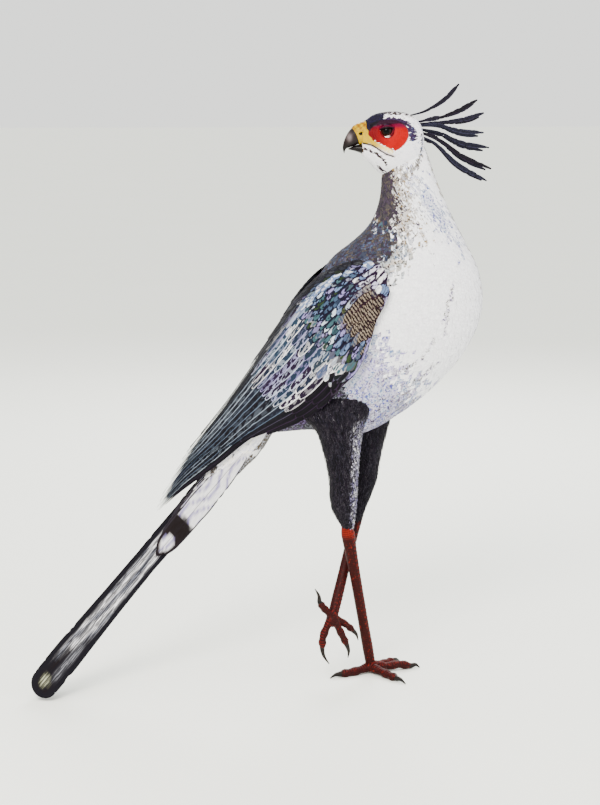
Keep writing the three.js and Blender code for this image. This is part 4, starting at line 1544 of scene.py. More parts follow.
    def row(self, vanes: Vanes, row: WingRow, rng: Rng, bake_row: int) -> None:
        """Adds one tier of long feathers."""
        number = row.count
        place = (np.arange(number) + 0.5) / number
        tips = profile(row.tips, place) + rng.uniform(-0.07, 0.07, number)
        half = (row.high[1] - row.high[0]) / number / 2 * row.lap * rng.uniform(0.92, 1.08, number)
        t, v = row.shape.grid(number, rng)
        columns = row.shape.across
        split = rng.uniform(0, 1, (number, row.shape.rows + 1, 1)) > 0.93
        v = np.where(split & (np.abs(columns) > 0.8), v * rng.uniform(0.72, 0.9, v.shape), v)
        length = tips - row.root
        cap = row.shape.round_tip * (1 - np.sqrt(1 - 0.97 * columns**2)) * t**4
        run = t - cap * whole(half / length * 3.0)
        share = mix(whole(mix(*row.low, place)), whole(mix(*row.high, place)), run) + v * whole(half)
        station = row.root + run * whole(length)
        sunk = -4.5 * (1 - np.clip(t / 0.3, 0, 1))
        quill = 0.5 * bell(columns, 0.12) * (1 - 0.7 * t)
        bow = row.shape.camber * 7 * (1 - columns**2)
        raised = row.raised + sunk - columns + quill + bow + 0.8 * t**3
        fat = (0.9 - 0.5 * t) * (1 - columns**2)
        web, rim, width, bars, mottle = self.tones(mix(row.root, tips, 0.62), place, rng)
        if row.shape is FLIGHT:
            inner = smooth(0.35, 0.0, columns) * smooth(0.35, 0.7, t)
            web = mix(whole(web), Tint.INK, inner[..., None] * 0.7)
        root = np.stack([0.02 + 0.9 * place, np.full(number, 0.05 + 0.11 * bake_row)], -1) + 0.02
        dress = Dress(web, rim, width, bars, row.shaft, mottle)
        self.lay(vanes, row.shape, station, share, raised, raised - fat, dress, root, rng, 0.03)

    def lay(self, vanes: Vanes, shape: VaneShape, station: Array, share: Array, raised: Array, under: Array,
            dress: Dress, root: Array, rng: Rng, patch: float = 0.003) -> None:
        """Adds feathers that lie at places of the folded wing.

        Args:
            vanes: The piece that takes them.
            shape: Their kind.
            station: Places of their points back along the wing.
            share: Places of their points from the wing's lower edge up.
            raised: Heights of their upper faces out from the hull.
            under: Heights of their lower faces.
            dress: Their colours and marks.
            root: Places of their roots on the unwrap.
            rng: Source of their chance values.
            patch: Width of each feather's patch on the unwrap.
        """
        share = np.clip(share, 0, 1)
        top = self.at(station, share, raised)
        spans = lengths(np.diff(top[:, :, top.shape[2] // 2], axis=1)).sum(axis=1)
        wide = lengths(top[:, WIDEST_ROW, -1] - top[:, WIDEST_ROW, 0]) / 2
        vanes.add(shape, top, self.at(station, share, under), (wide, spans), dress, root, rng, patch)

    def small_coverts(self, vanes: Vanes, rng: Rng) -> None:
        """Adds the scale-like feathers over the wrist and arm."""
        columns = SCALE.across
        for index, base in enumerate(np.arange(0.6, 2.75, self.covert_row)):
            wide = run_along(self.at(np.full(30, base), np.linspace(0, 1, 30), 0.0))[-1]
            span = max(6, int(wide / self.covert_width))
            number = span + 1
            place = (np.arange(number) + 0.5 * (index % 2) - 0.3 + rng.uniform(-0.15, 0.15, number)) / span
            place = np.clip(place, 0, 1)
            base_at = base + 0.36 * np.abs(2 * place - 1) ** 3 + rng.uniform(-0.03, 0.03, number)
            reach = 0.3 * rng.uniform(0.85, 1.15, number) * mix(0.85, 1.2, smooth(0.7, 2.6, base))
            half = 0.66 / span * rng.uniform(0.9, 1.1, number)
            t, v = SCALE.grid(number, rng)
            cap = (1 - np.sqrt(1 - 0.97 * columns**2)) * t**3 * 0.35
            station = whole(base_at) + whole(reach) * (t - cap)
            share = whole(place) + v * whole(half)
            lift = 0.4 + 2.2 * smooth(1.3, 2.1, base) + 2.0 * t + SCALE.camber * 6 * (1 - columns**2)
            raised = lift - 2.5 * whole(smooth(0.08, 0.0, np.minimum(place, 1 - place)))
            raised = raised - 4.5 * whole(smooth(0.95, 0.6, base_at))
            web, rim, width, bars, mottle = self.tones(base_at + 0.2, place, rng)
            root = np.stack([0.02 + 0.94 * place % 1, np.full(number, 0.72 + 0.012 * index)], -1)
            dress = Dress(web, rim, width * 1.45, bars, 0.2, mottle)
            self.lay(vanes, SCALE, station, share, raised, raised - 0.6 * (1 - 0.6 * t), dress, root, rng)

    def build(self) -> None:
        """Makes the wing's feathers and the arm that carries them."""
        node = "wing_" + self.side.word
        rng = np.random.default_rng(70 + self.side.value)
        vanes = Vanes("wing_feathers_" + self.side.word)
        for index, row in enumerate(self.rows()):
            self.row(vanes, row, rng, index)
        self.small_coverts(vanes, rng)
        finish_piece(vanes.build(), "wing_feathers", self.material, node)
        arm = self.arm()
        arm.name = "wing_arm_" + self.side.word
        paint(arm, "tone", Tint.PLUM)
        finish_piece(arm, "wing_feathers", self.skin, node)


@dataclass(frozen=True)
class TailPair:
    """A pair of tail feathers: length, full width and how far it lies under the pair above."""

    length: float
    width: float
    under: float


@dataclass
class Tail:
    """Nested pairs of feathers that hang like a steep roof, the middle pair far longer than the rest."""

    material: Material
    root: tuple[float, float, float] = (-243, 0, 521)
    slope: float = 48.4
    swing: float = 84.0
    longest: float = 680.0
    roof: float = 62.0
    crest: float = 28.0
    first: float = 60.0
    left_shorter: float = 14.0
    pairs: tuple[TailPair, ...] = (TailPair(680, 62, 0), TailPair(262, 44, 6), TailPair(284, 46, 9),
                                   TailPair(304, 48, 12), TailPair(324, 49, 17))
    long_shape: VaneShape = VaneShape(90, BROAD, (0.5, 0.72, 0.78, 0.8, 0.8, 0.84, 0.92, 1, 0.96))
    short_shape: VaneShape = VaneShape(40, BROAD, (0.5, 0.8, 0.95, 1, 1, 0.98, 0.9, 0.4))

    def line(self, distance: Array) -> Array:
        """Points of the tail's middle line at distances from its root."""
        run = math.radians(self.slope)
        along = np.array([-math.cos(run), 0, -math.sin(run)])
        lean = np.array([0, -self.swing, 0])
        share = np.clip(distance / self.longest, 0, 2)[..., None]
        return np.array(self.root) + along * distance[..., None] + lean * share**1.5

    def tones(self, t: Array, v: Array, long_one: bool) -> Array:
        """Markings of a tail feather.

        Args:
            t: Shares along it.
            v: Shares across it.
            long_one: Whether it is one of the middle pair.

        Returns:
            A colour for each point.
        """
        wave = np.sin(t * 23 + 3 * v) * 0.06 + np.sin(t * 61 - 5 * v) * 0.03
        if long_one:
            thread = smooth(0.3, 0.1, np.abs(v - 0.3)) * smooth(0.75, 0.82, t) * smooth(0.95, 0.9, t)
            return dyed(
                Tint.ASH.rgb,
                (Tint.SNOW, smooth(-0.5, 0.3, np.sin(v * 9 + 3 * np.sin(t * 9)))),
                ("#120c0f", smooth(0.72, 0.86, t + wave + 0.08 * v)),
                (Tint.DOVE, thread * 0.7),
                ("#b4b596", smooth(1.0, 0.6, np.hypot((v + 0.1) / 0.4, (t - 0.95) / 0.022))),
            )
        return dyed(
            Tint.LAVENDER.rgb,
            (Tint.SNOW, smooth(-1.0, -0.3, np.sin(v * 7 + 4 * np.sin(t * 13)))),
            ("#120b0b", smooth(0.64, 0.67, t + wave * 0.2) * smooth(0.8, 0.78, t)),
            ("#160e10", smooth(0.55, 0.66, np.hypot(v, (t - 0.885) / 0.09 * 0.8)) * smooth(0.78, 0.8, t)),
        )

    def feather(self, vanes: Vanes, pair: TailPair, side: Side, cell: int, rng: Rng) -> None:
        """Adds one tail feather."""
        long_one = pair.under == 0
        shape = self.long_shape if long_one else self.short_shape
        run = math.radians(self.slope)
        down = np.array([math.sin(run), 0, -math.cos(run)])
        roof = math.radians(self.roof)
        across = down * math.sin(roof) + np.array([0, side.value * math.cos(roof), 0])
        outward = -down * math.cos(roof) + np.array([0, side.value * math.sin(roof), 0])
        length = pair.length - (self.left_shorter if side is Side.LEFT else 0)
        t, v = shape.grid(1, rng)
        columns = shape.across * np.ones_like(t)
        split = rng.uniform(0, 1, (1, shape.rows + 1, 1)) > 0.92
        v = np.where(split & (np.abs(columns) > 0.95), v * 0.84, v)
        cap = (1 - np.sqrt(1 - 0.985 * columns**2)) * smooth(0.94, 1.0, t) * pair.width * 0.42
        distance = mix(self.first, length, t) - cap
        spot = self.line(distance) - down * self.crest + np.array([0, side.value * 0.9, 0])
        spot = spot + across * (pair.under + pair.width / 2 * (1 + v))[..., None]
        quill = 0.7 * bell(columns, 0.1) * (1 - 0.6 * t)
        bow = 1.5 * (1 - columns**2)
        proud = 0.0 if long_one else 1.5 + 0.2 * pair.under
        top = spot + outward * (1.1 + quill + bow + proud)[..., None]
        under = spot + outward * (bow - quill * 0.5 + proud)[..., None]
        dark, edge, mottle = (Tint.INK, 11.5, 1.0) if long_one else (Tint.MANTLE, 2.6, 0.2)
        dress = Dress(self.tones(t, columns, long_one), dark.rgb, edge, 0.0, 0.7, mottle)
        root = np.array([[0.08 + 0.2 * (cell % 5), 0.25 + 0.5 * (cell // 5)]])
        vanes.add(shape, top, under, (pair.width / 2, length), dress, root, rng, 0.14)

    def build(self) -> None:
        """Makes the tail."""
        rng = np.random.default_rng(90)
        vanes = Vanes("tail_feathers")
        for cell in range(2 * len(self.pairs)):
            self.feather(vanes, self.pairs[cell // 2], list(Side)[cell % 2], cell, rng)
        piece = vanes.build()
        points = points_of(piece)
        points[:, 2] = np.maximum(points[:, 2], 0.4)
        move_points(piece, points)
        finish_piece(piece, "tail_feathers", self.material, "tail")


@dataclass
class Crest:
    """Long spatulate feathers that fan out behind the head, with a few short ones at their roots."""

    material: Material
    shafts: tuple = (
        ((52, 1134), (84, 1143), (123, 1166), (150, 1194)),
        ((60, 1120), (112, 1130), (152, 1144), (186, 1162)),
        ((62, 1118), (118, 1121), (160, 1125), (199, 1136)),
        ((64, 1114), (112, 1114), (152, 1102), (199, 1097)),
        ((66, 1110), (112, 1100), (156, 1079), (210, 1068)),
        ((68, 1104), (112, 1087), (158, 1054), (216, 1028)),
        ((66, 1098), (104, 1080), (148, 1039), (208, 1005)),
    )
    half_widths: tuple[float, ...] = (0.9, 1.2, 1.9, 3.1, 4.2, 4.4, 1.6)
    short_ones: int = 10
    shape: VaneShape = VaneShape(36, (-1, -0.7, -0.15, 0.15, 0.7, 1), (1, 1), round_tip=0.0)

    def blade(self, vanes: Vanes, shaft: tuple, place: float, side: Side, reach: float, cell: int,
              rng: Rng) -> None:
        """Adds one crest feather."""
        splay = side.value * (5 + 15 * math.sin(math.pi * place) + rng.uniform(-2.5, 2.5))
        points = []
        for i, (x, z) in enumerate(shaft):
            y = i / 3 * splay + side.value * (3 + 4 * place)
            points.append([x + 0.1 * y, y, z - 0.17 * y])
        line = Spline(points)
        t, v = self.shape.grid(1, rng)
        u = t * reach
        along = line.slope(u)
        across = unit(np.stack([-along[..., 2], np.zeros_like(u), along[..., 0]], -1))
        notch = rng.uniform(0, 1, (1, self.shape.rows + 1, 1)) > 0.82
        v = np.where(notch & (np.abs(v) > 0.9) & (t > 0.3), v * rng.uniform(0.55, 0.85, v.shape), v)
        columns = self.shape.across
        quill = 0.45 * bell(columns, 0.3) * (1 - 0.6 * t)
        outward = np.array([0, side.value, 0])
        centre = line.at(u) + across * (v * profile(self.half_widths, t))[..., None]
        bow = 0.6 * (1 - columns**2)
        top = centre + outward * (bow + quill + 0.3)[..., None]
        under = centre + outward * (bow - quill - 0.3)[..., None]
        draw = rng.uniform(0, 1)
        web = mix(Tint.INK, Tint.NAVY, draw * 0.4)
        rim = mix(Tint.PLUM, Tint.STEEL, 0.15 * draw)
        root = np.array([[0.05 + 0.11 * (cell % 9), 0.1 + 0.25 * (cell // 9)]])
        dress = Dress(web, rim, 0.9, 0.0, 0.8, 0.2)
        vanes.add(self.shape, top, under, (5.5, 160.0 * reach), dress, root, rng, 0.05)

    def build(self) -> None:
        """Makes the crest."""
        rng = np.random.default_rng(99)
        vanes = Vanes("crest_feathers")
        sides = list(Side)
        pairs = 2 * len(self.shafts)
        for cell in range(pairs):
            place = cell // 2 / (len(self.shafts) - 1)
            reach = (1.0, 0.96)[cell % 2]
            self.blade(vanes, self.shafts[cell // 2], place, sides[cell % 2], reach, cell, rng)
        for index in range(self.short_ones):
            shaft = self.shafts[1 + index % 6]
            self.blade(vanes, shaft, index / 9, sides[index % 2], rng.uniform(0.28, 0.5), pairs + index, rng)
        finish_piece(vanes.build(), "dark_feathers", self.material)


@dataclass
class Bill:
    """Hooked bill: grey horn, a waxy yellow cere over its base with the nostrils, and a paler lower half."""

    cere_top: float = 0.36
    cere_low: float = 0.22
    cere_thickness: float = 0.9
    nostril: tuple[float, float] = (-44.0, 1100.0)
    nostril_size: tuple[float, float] = (4.8, 3.7)
    nostril_depth: float = 2.6

    def _pit(self, points: Array) -> Array:
        """Gives 1 in the middle of a nostril, falling to 0 outside it."""
        away = (points[:, [0, 2]] - np.array(self.nostril)) / np.array(self.nostril_size)
        return bell(lengths(away), 1, 4)

    def build(self) -> None:
        """Makes the three pieces."""
        def horn_place(share: Array, angle: Array) -> Array:
            """Places of the upper horn, with a low ridge on top and a sharp cutting edge."""
            ridge = 0.5 * bell(angle, 0.3) * smooth(0.3, 0.5, share)
            pit = self.nostril_depth * self._pit(UPPER_BILL.at(share, angle))
            return UPPER_BILL.at(share, angle, ridge - 0.3 - pit)

        def cere_place(share: Array, angle: Array) -> Array:
            """Places of the cere, whose front edge is rounded down into the horn."""
            at = share * mix(self.cere_top, self.cere_low, 0.5 - 0.5 * np.cos(angle))
            swell = 0.35 * np.sin(at * 60 + 2 * np.cos(2 * angle)) * smooth(0.0, 0.3, share)
            edge = np.sqrt(np.clip(1 - (np.clip(share - 0.9, 0, 1) / 0.1) ** 2, 0, 1))
            over = (self.cere_thickness + 0.5 * swell + 1.2) * edge - 1.2
            return UPPER_BILL.at(at, angle, over - self.nostril_depth * self._pit(UPPER_BILL.at(at, angle)))

        horn = wrapped("upper_horn", horn_place, 90, 72)
        x, _, z = points_of(horn).T
        tone = mix("#1a1110", "#0a0607", smooth(1090, 1070, z)[:, None])
        # Painted highlight: a pale grey spot on the side of the hook.
        light = np.exp(-(((x + 66) / 4.5) ** 2 + ((z - 1093) / 7) ** 2))
        paint(horn, "tone", dyed(tone, ("#85787a", light * 0.6)))
        finish_piece(horn, "bill", Horn("horn, grown and worn smooth").material(), "bill_upper")
        cere = wrapped("cere", cere_place, 60, 96)
        points = points_of(cere)
        x, _, z = points.T
        waves = 0.5 + 0.5 * np.sin(x * 0.5 + z * 0.35)
        fleck = np.sin(x * 1.7 + 2) * np.sin(z * 2.1) * np.cos(x - z * 1.3)
        fleck = smooth(0.12, 0.3, fleck) * smooth(1098, 1112, z - 0.25 * (x + 50))
        tone = mix("#ab8b00", "#8a5600", (waves * smooth(1096, 1118, z))[:, None])
        # The nostril pits are painted near-black as painted shade.
        tone = dyed(tone, ("#2b1a10", fleck * 0.85), ("#080404", smooth(0.25, 0.7, self._pit(points))))
        paint(cere, "tone", tone)
        wax = SoftSkin("waxy skin, grown", roughness=0.36, wrinkle_scale=1300, mottle=0.12).material()
        finish_piece(cere, "bill", wax, "bill_upper")
        lower = wrapped("lower_horn", LOWER_BILL.at, 60, 48)
        paint(lower, "tone", mix("#7a5a24", "#0d0809", smooth(-34, -42, points_of(lower)[:, :1])))
        finish_piece(lower, "bill", Horn("pale horn, grown and worn smooth").material(), "bill_lower")


@dataclass
class Eye:
    """A dark eye in its socket with a flat upper lid, a curved pale lower lid and a row of lashes."""

    side: Side
    centre: tuple[float, float, float] = (5, 24, 1105)
    out: tuple[float, float, float] = (-0.22, 0.97, 0.05)
    radius: float = 11.5
    pupil: float = 0.58
    lash_count: int = 16

    def axes(self) -> tuple[Array, Array, Array, Array]:
        """Gives the eye's middle and its outward, forward and upward directions."""
        flip = np.array([1, self.side.value, 1])
        out = unit(np.array(self.out) * flip)
        up = unit(np.array([0, 0, 1.0]) - out * out[2])
        ahead = np.cross(up, out) * self.side.value
        ahead = ahead if ahead[0] < 0 else -ahead
        return np.array(self.centre) * flip, out, ahead, up

    def ball(self) -> Piece:
        """Makes the eyeball with a slightly raised cornea."""
        centre, out, ahead, up = self.axes()

        def place(share: Array, angle: Array) -> Array:
            """Places on the ball, from the cornea's middle to the back."""
            polar = mix(0.012, 0.988, share) * math.pi
            ring = np.sin(polar)[:, None] * (ahead * np.cos(angle)[:, None] + up * np.sin(angle)[:, None])
            radius = self.radius + 0.7 * bell(polar, 0.55, 4)
            return centre + (ring + out * np.cos(polar)[:, None]) * radius[:, None]

        piece = wrapped("eye_ball_" + self.side.word, place, 56, 64)
        away = unit(points_of(piece) - centre)
        polar = np.arccos(np.clip(away @ out, -1, 1))
        iris = smooth(self.pupil - 0.05, self.pupil + 0.05, polar)
        paint(piece, "tone", dyed("#020202", ("#1e0b05", iris), ("#0a0505", smooth(0.85, 1.05, polar))))
        return piece

    def opening(self, angle: Array) -> tuple[Array, Array]:
        """Gives the edge of the open eye as offsets ahead and up, for angles round the eye."""
        ahead = 10.9 * np.cos(angle)
        up = np.sin(angle)
        rise = np.where(up > 0, 4.6 * np.abs(up) ** 0.5, -9.8 * np.abs(up) ** 0.95)
        return ahead, rise - 0.14 * ahead

    def lids(self) -> Piece:
        """Makes both lids as one soft ring round the opening."""
        centre, out, ahead, up = self.axes()
        select_only()
        bpy.ops.mesh.primitive_torus_add(major_segments=96, minor_segments=16, minor_radius=0.25)
        piece = bpy.context.object
        piece.name = "lids_" + self.side.word
        points = points_of(piece) * MM
        turn = np.arctan2(points[:, 1], points[:, 0])
        away = np.hypot(points[:, 0], points[:, 1]) - 1
        tube = np.arctan2(points[:, 2], away)
        forward, rise = self.opening(turn)
        top = smooth(-0.25, 0.35, np.sin(turn))
        width = mix(2.4, 3.2, top)
        thick = mix(1.0, 1.5, top)
        reach = (1 + np.cos(tube)) * width
        far = reach / (2 * width)
        flat = np.stack([forward, rise], 1)
        outward = unit(np.stack([forward, rise * 1.3 + 0.001], 1))
        spot = flat + outward * reach[:, None]
        depth = np.sqrt(np.maximum((self.radius + 0.25) ** 2 - (flat**2).sum(1), 4.0))
        level = depth - 3.2 * far**2 + thick * np.sin(tube)
        move_points(piece, centre + spot[:, :1] * ahead + spot[:, 1:] * up + level[:, None] * out)
        turn_outwards(piece)
        pale = smooth(-7, -1, forward) * smooth(1.0, 0.8, far)
        tone = mix("#4a0410", "#e8d5cc", pale[:, None])
        paint(piece, "tone", dyed(tone, (mix("#0b0408", "#45031f", smooth(0.45, 0.8, far)[:, None]), top)))
        return piece

    def lashes(self) -> Piece:
        """Makes the bristles of the upper lid."""
        centre, out, ahead, up = self.axes()
        pieces = []
        rng = np.random.default_rng(8)
        for i in range(self.lash_count):
            turn = mix(0.12, math.pi - 0.12, (i + 0.5) / self.lash_count) + rng.uniform(-0.04, 0.04)
            forward, rise = (float(v[0]) for v in self.opening(np.array([turn])))
            depth = math.sqrt(max((self.radius + 0.6) ** 2 - forward**2 - rise**2, 4.0))
            root = centre + (forward * ahead) + ((rise + 1.0) * up) + (depth + 0.7) * out
            lean = rng.uniform(0.75, 1.1)
            middle = root + (2.2 * out - 0.2 * up + 0.5 * math.cos(turn) * ahead) * lean
            tip = root + (4.6 * out + 0.9 * up + 1.6 * math.cos(turn) * ahead) * lean
            pieces.append(limb([root, middle, tip], [0.26, 0.2, 0.07], [0.26, 0.2, 0.07], ahead, 8, 6))
        piece = joined("lashes_" + self.side.word, pieces)
        paint(piece, "tone", "#120c10")
        return piece

    def build(self, wet: Material, skin: Material, horn: Material) -> None:
        """Makes the eye's three pieces."""
        finish_piece(self.ball(), "eyes", wet, "eye_" + self.side.word)
        finish_piece(self.lids(), "face_feathers", skin)
        finish_piece(self.lashes(), "claws", horn)


@dataclass
class Toe:
    """A toe and its claw: the toe's line, the claw's bend and tip, and the toe's radius."""

    name: str
    line: tuple
    claw: tuple
    radius: float


@dataclass
class Leg:
    """Scaled shank and foot of one leg, from the joint under the thigh feathers to the claws."""

    side: Side
    hock: tuple[float, float, float]
    joint: tuple[float, float, float]
    pad: tuple[tuple[float, float, float], tuple[float, float, float]]
    toes: tuple[Toe, ...]
    voxel: float = 1.0
    scute: float = 8.5
    scute_depth: float = 0.75
    cell_depth: float = 0.35
    cell_size: float = 4.2
    shank_widths: tuple[float, ...] = (9.5, 13, 11.2, 10.2, 10, 10, 10.2, 11, 12)
    shank_depths: tuple[float, ...] = (9.5, 13.5, 12, 11, 10.6, 10.4, 10.4, 10.8, 10)
    toe_shape: tuple[float, ...] = (1, 0.98, 0.8, 0.95, 0.78, 0.92, 0.6)
    claw_shape: tuple[float, ...] = (0.52, 0.46, 0.3, 0.08)

    def shank_line(self) -> Array:
        """Points of the shank from over the hock to the foot."""
        hock = np.array(self.hock, float)
        joint = np.array(self.joint, float)
        steps = [hock + (joint - hock) * i / 7 for i in range(8)]
        return np.array([hock + unit(hock - joint) * 22, *steps])

    def build(self, scaled: Material, horn: Material) -> None:
        """Makes the fused shank and foot, and the claws."""
        name = self.side.word
        level = np.array([0.0, 1.0, 0.0])

        def pad(share: Array, angle: Array) -> Array:
            """Places on the ball of the foot."""
            polar = mix(0.02, 0.98, share) * math.pi
            ring = [np.cos(polar), np.sin(polar) * np.cos(angle), np.sin(polar) * np.sin(angle)]
            return np.array(self.pad[0]) + np.array(self.pad[1]) * np.stack(ring, -1)

        shank = limb(self.shank_line(), self.shank_widths, self.shank_depths, level, 90, 28)
        pieces = [shank, *(self.toe(toe) for toe in self.toes), wrapped("pad", pad, 24, 24)]
        leg = fused("leg_" + name, pieces, self.voxel, 2)
        self.scale(leg)
        finish_piece(leg, "scaled_skin", scaled, "shank_" + name, "foot_" + name)
        piece = joined("claws_" + name, [self.claw(toe) for toe in self.toes])
        waves = smooth(-1, 1, np.sin(points_of(piece)[:, 2:] * 0.7))
        paint(piece, "tone", mix("#0b0808", "#1f1715", waves))
        finish_piece(piece, "claws", horn, *(f"claw_{name}_{toe.name}" for toe in self.toes))

    def _level_of(self, line: Array) -> Array:
        """The level direction square to a toe."""
        run = line[-1] - line[0]
        return unit(np.array([[-run[1], run[0], 0.0]]))[0]

    def toe(self, toe: Toe) -> Piece:
        """Makes one toe, with a joint's swelling at each of its bones' ends."""
        sizes = toe.radius * np.array(self.toe_shape)
        return limb(toe.line, sizes, sizes * 0.86, self._level_of(np.array(toe.line, float)), 44, 24)

    def claw(self, toe: Toe) -> Piece:
        """Makes one claw."""
        line = np.array(toe.line, float)
        tangent = Spline(line).slope(1.0)
        points = [line[-1] - tangent * 2.5, line[-1] + tangent * 3, *toe.claw]
        sizes = toe.radius * np.array(self.claw_shape)
        return limb(points, sizes, sizes * 1.12, self._level_of(line), 30, 20)

    def scale(self, leg: Piece) -> None:
        """Raises scutes and small scales on the fused leg and paints it, with painted shade in its grooves
        and painted highlights on its scutes.
        """
        points = points_of(leg)
        normals = per_vertex(leg, "normal")
        best = np.full(len(points), 1e9)
        along = np.zeros(len(points))
        around = np.zeros(len(points))
        on_shank = np.zeros(len(points), bool)
        for index, line in enumerate([self.shank_line(), *(toe.line for toe in self.toes)]):
            spots = Spline(line).at(np.linspace(0, 1, 120))
            gap = lengths(points[:, None] - spots)
            near = gap.argmin(axis=1)
            distance = gap[np.arange(len(points)), near] + (0 if index else 1.5)
            closer = distance < best
            tangent = unit(np.gradient(spots, axis=0))[near]
            off = points - spots[near]
            away = off - tangent * (off * tangent).sum(1)[:, None]
            front = np.array([0, 0, 1.0] if index else [1.0, 0, 0])
            front = unit(front - tangent * (tangent @ front)[:, None])
            turn = np.arctan2((away * np.cross(tangent, front)).sum(1), (away * front).sum(1))
            best = np.where(closer, distance, best)
            along = np.where(closer, run_along(spots)[near] + (off * tangent).sum(1), along)
            around = np.where(closer, turn, around)
            on_shank = np.where(closer, index == 0, on_shank)
        plate = along / np.where(on_shank, self.scute, self.scute * 0.62) % 1
        front = smooth(1.15, 0.85, np.abs(around))
        plates = front * (0.9 * (1 - plate) ** 1.5 - 1.3 * bell(np.minimum(plate, 1 - plate), 0.09))
        u = along / self.cell_size
        v = around * best / self.cell_size + 0.5 * (np.floor(u) % 2)
        grooves = bell(np.minimum(np.minimum(u % 1, 1 - u % 1), np.minimum(v % 1, 1 - v % 1)), 0.14)
        cells = (1 - front) * (0.5 - 1.2 * grooves)
        standing = self.side is Side.RIGHT
        under = smooth(-0.75, -0.3, normals[:, 2]) if standing else 1.0
        height = (self.scute_depth * plates + self.cell_depth * cells) * under
        points = points + normals * height[:, None]
        if standing:
            points[:, 2] = np.maximum(points[:, 2], 0.05)
        move_points(leg, points)
        # worn is painted shade: darker in the grooves between the small scales and towards the sunken end of
        # each front scute.
        worn = np.clip(grooves * (1 - front) + front * plate, 0, 1)
        top = smooth(self.hock[2] - 12, self.hock[2] + 4, points_of(leg)[:, 2]) * (1 - 0.9 * worn)
        # Painted highlight: the raised part of each front scute is lighter.
        tone = dyed("#2e0605", ("#120303", worn), ("#5e0c08", front * smooth(0.5, 0.1, plate) * 0.7))
        paint(leg, "tone", dyed(tone, ("#7c1503", top * 0.85)))


LEGS = (
    Leg(Side.RIGHT, (-68, -30, 302), (-16, 0, 20), ((-4, 0, 12), (23, 14, 12.5)), (
        Toe("middle", ((-16, 0, 13), (18, 5, 10.5), (46, 10, 11.5), (68, 14, 7)),
            ((81, 15.5, 8), (90, 16.5, 1.4)), 11.0),
        Toe("inner", ((-16, 4, 13), (8, 22, 9.5), (26, 39, 7), (38, 50, 6.8)),
            ((47, 58, 6.5), (55, 65, 1.4)), 10.5),
        Toe("outer", ((-16, -4, 13), (3, -26, 9.5), (18, -47, 7.2), (28, -61, 7)),
            ((36, -72, 6.8), (44, -83, 1.4)), 10.9),
        Toe("hind", ((-16, 0, 13), (-38, -10, 9.5), (-62, -19, 7.4), (-80, -25, 7.2)),
            ((-92, -29, 7), (-104, -33, 1.6)), 11.0),
    )),
    Leg(Side.LEFT, (-27, 58, 360), (-100, -40, 134), ((-100, -40, 127), (13.5, 13.5, 14.5)), (
        Toe("middle", ((-100, -40, 134), (-88, -38, 110), (-78, -36, 89), (-71, -35, 74)),
            ((-66, -34, 59), (-67, -33, 44)), 9.8),
        Toe("inner", ((-100, -40, 134), (-84, -33, 123), (-67, -26, 109), (-57, -22, 99)),
            ((-48, -18, 88), (-44, -16, 75)), 9.2),
        Toe("outer", ((-100, -40, 134), (-113, -46, 113), (-121, -50, 92), (-122, -51, 74)),
            ((-119, -51.5, 56), (-108, -51, 38)), 9.8),
        Toe("hind", ((-100, -40, 134), (-111, -43, 146), (-121, -46, 157), (-126, -47, 166)),
            ((-129, -48, 181), (-137, -49, 196)), 9.6),
    )),
)


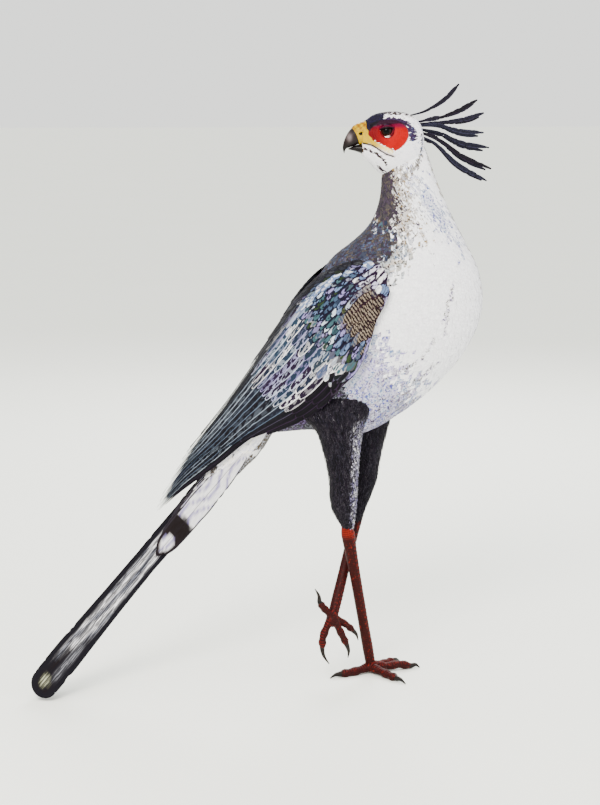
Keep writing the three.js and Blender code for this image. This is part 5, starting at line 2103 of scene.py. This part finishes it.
@dataclass
class Studio:
    """Plain pale floor, soft light and the camera at the drawing's view."""

    target: tuple[float, float, float] = (-0.16203, 0.0, 0.56834)
    elevation: float = 10.0
    azimuth: float = -6.0
    distance: float = 3.5
    lens: float = 78.26
    floor_size: float = 120.0

    def build(self) -> None:
        """Makes the floor, the world, the lamps and the camera."""
        bpy.ops.mesh.primitive_plane_add(size=self.floor_size, location=(0, 0, 0))
        floor = bpy.context.object
        floor.name = "floor"
        floor.data.materials.append(StudioPaper("matt paper, rolled smooth").material())
        world = bpy.data.worlds.new("studio")
        bpy.context.scene.world = world
        world.use_nodes = True
        sky = world.node_tree.nodes["Background"]
        sky.inputs["Color"].default_value = rgba("#fbfcf8")
        sky.inputs["Strength"].default_value = 1.7
        self.lamp("key", (-1.5, -3.0, 3.2), 1.6, 260.0, "#fff8ee")
        self.lamp("fill", (3.0, -1.6, 1.6), 2.4, 60.0, "#eef4ff")
        self.lamp("rim", (0.6, 3.0, 2.8), 1.8, 150.0, "#ffffff")
        bpy.ops.object.light_add(type="SUN", location=(-2, -3, 4))
        sun = bpy.context.object
        sun.name = "even_sun"
        sun.data.energy = 1.3
        sun.data.angle = math.radians(50)
        sun.rotation_euler = (math.radians(38), 0, math.radians(-30))
        self.camera()

    def lamp(self, name: str, place: tuple, size: float, power: float, tint: str) -> None:
        """Adds a soft square lamp that faces the bird."""
        bpy.ops.object.light_add(type="AREA", location=place)
        lamp = bpy.context.object
        lamp.name = name
        lamp.data.size = size
        lamp.data.energy = power
        lamp.data.color = tuple(linear(tint))
        lamp.rotation_euler = (Vector(self.target) - Vector(place)).to_track_quat("-Z", "Y").to_euler()

    def camera(self) -> None:
        """Adds the camera at the drawing's viewing angle."""
        rise = math.radians(self.elevation)
        turn = math.radians(self.azimuth)
        back = Vector((math.sin(turn) * math.cos(rise), -math.cos(turn) * math.cos(rise), math.sin(rise)))
        place = Vector(self.target) + back * self.distance
        bpy.ops.object.camera_add(location=place)
        camera = bpy.context.object
        camera.name = "camera"
        camera.data.lens = self.lens
        camera.rotation_euler = (-back).to_track_quat("-Z", "Y").to_euler()
        bpy.context.scene.camera = camera


def main() -> None:
    """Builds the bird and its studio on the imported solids."""
    logging.basicConfig(level=logging.INFO, format="%(message)s")
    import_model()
    Studio().build()
    skin = BodySkin().build()
    tree = BVHTree.FromObject(skin, bpy.context.evaluated_depsgraph_get())
    white = Plumage("pale feathers, soft keratin barbs", barb_spacing=1.2, barb_contrast=0.05,
                    barb_depth=0.07, wobble=0.4, variation=0.07, speckle=1.0, speckle_scale=270,
                    speckle_floor=0.52).material()
    dark = Plumage("dark feathers, keratin barbs with a faint gloss", roughness=0.5, gloss=0.05, speckle=1.0,
                   speckle_scale=330).material()
    BodyCoat(tree, white, dark).build()
    wing_web = Plumage("wing feathers, firm keratin webs", roughness=0.5, gloss=0.05, speckle=1.0,
                       speckle_scale=210, speckle_floor=0.51, stretch=2.6).material()
    wing_skin = SoftSkin("feathered skin of the wing").material()
    for side in Side:
        Wing(side, wing_web, wing_skin).build()
    tail_web = Plumage("tail feathers, firm keratin webs", roughness=0.5, gloss=0.05, streaks=0.9)
    Tail(tail_web.material()).build()
    Crest(dark).build()
    Bill().build()
    wet = WetEye("clear cornea over a brown iris, wet").material()
    lid = SoftSkin("bare lid skin", roughness=0.35).material()
    lash = Horn("bristle keratin, grown").material()
    for side in Side:
        Eye(side).build(wet, lid, lash)
    scaled = ScaledSkin("leg scutes, grown and dry").material()
    claw = Horn("claw horn, grown and worn").material()
    for leg in LEGS:
        leg.build(scaled, claw)


if __name__ == "__main__":
    main()
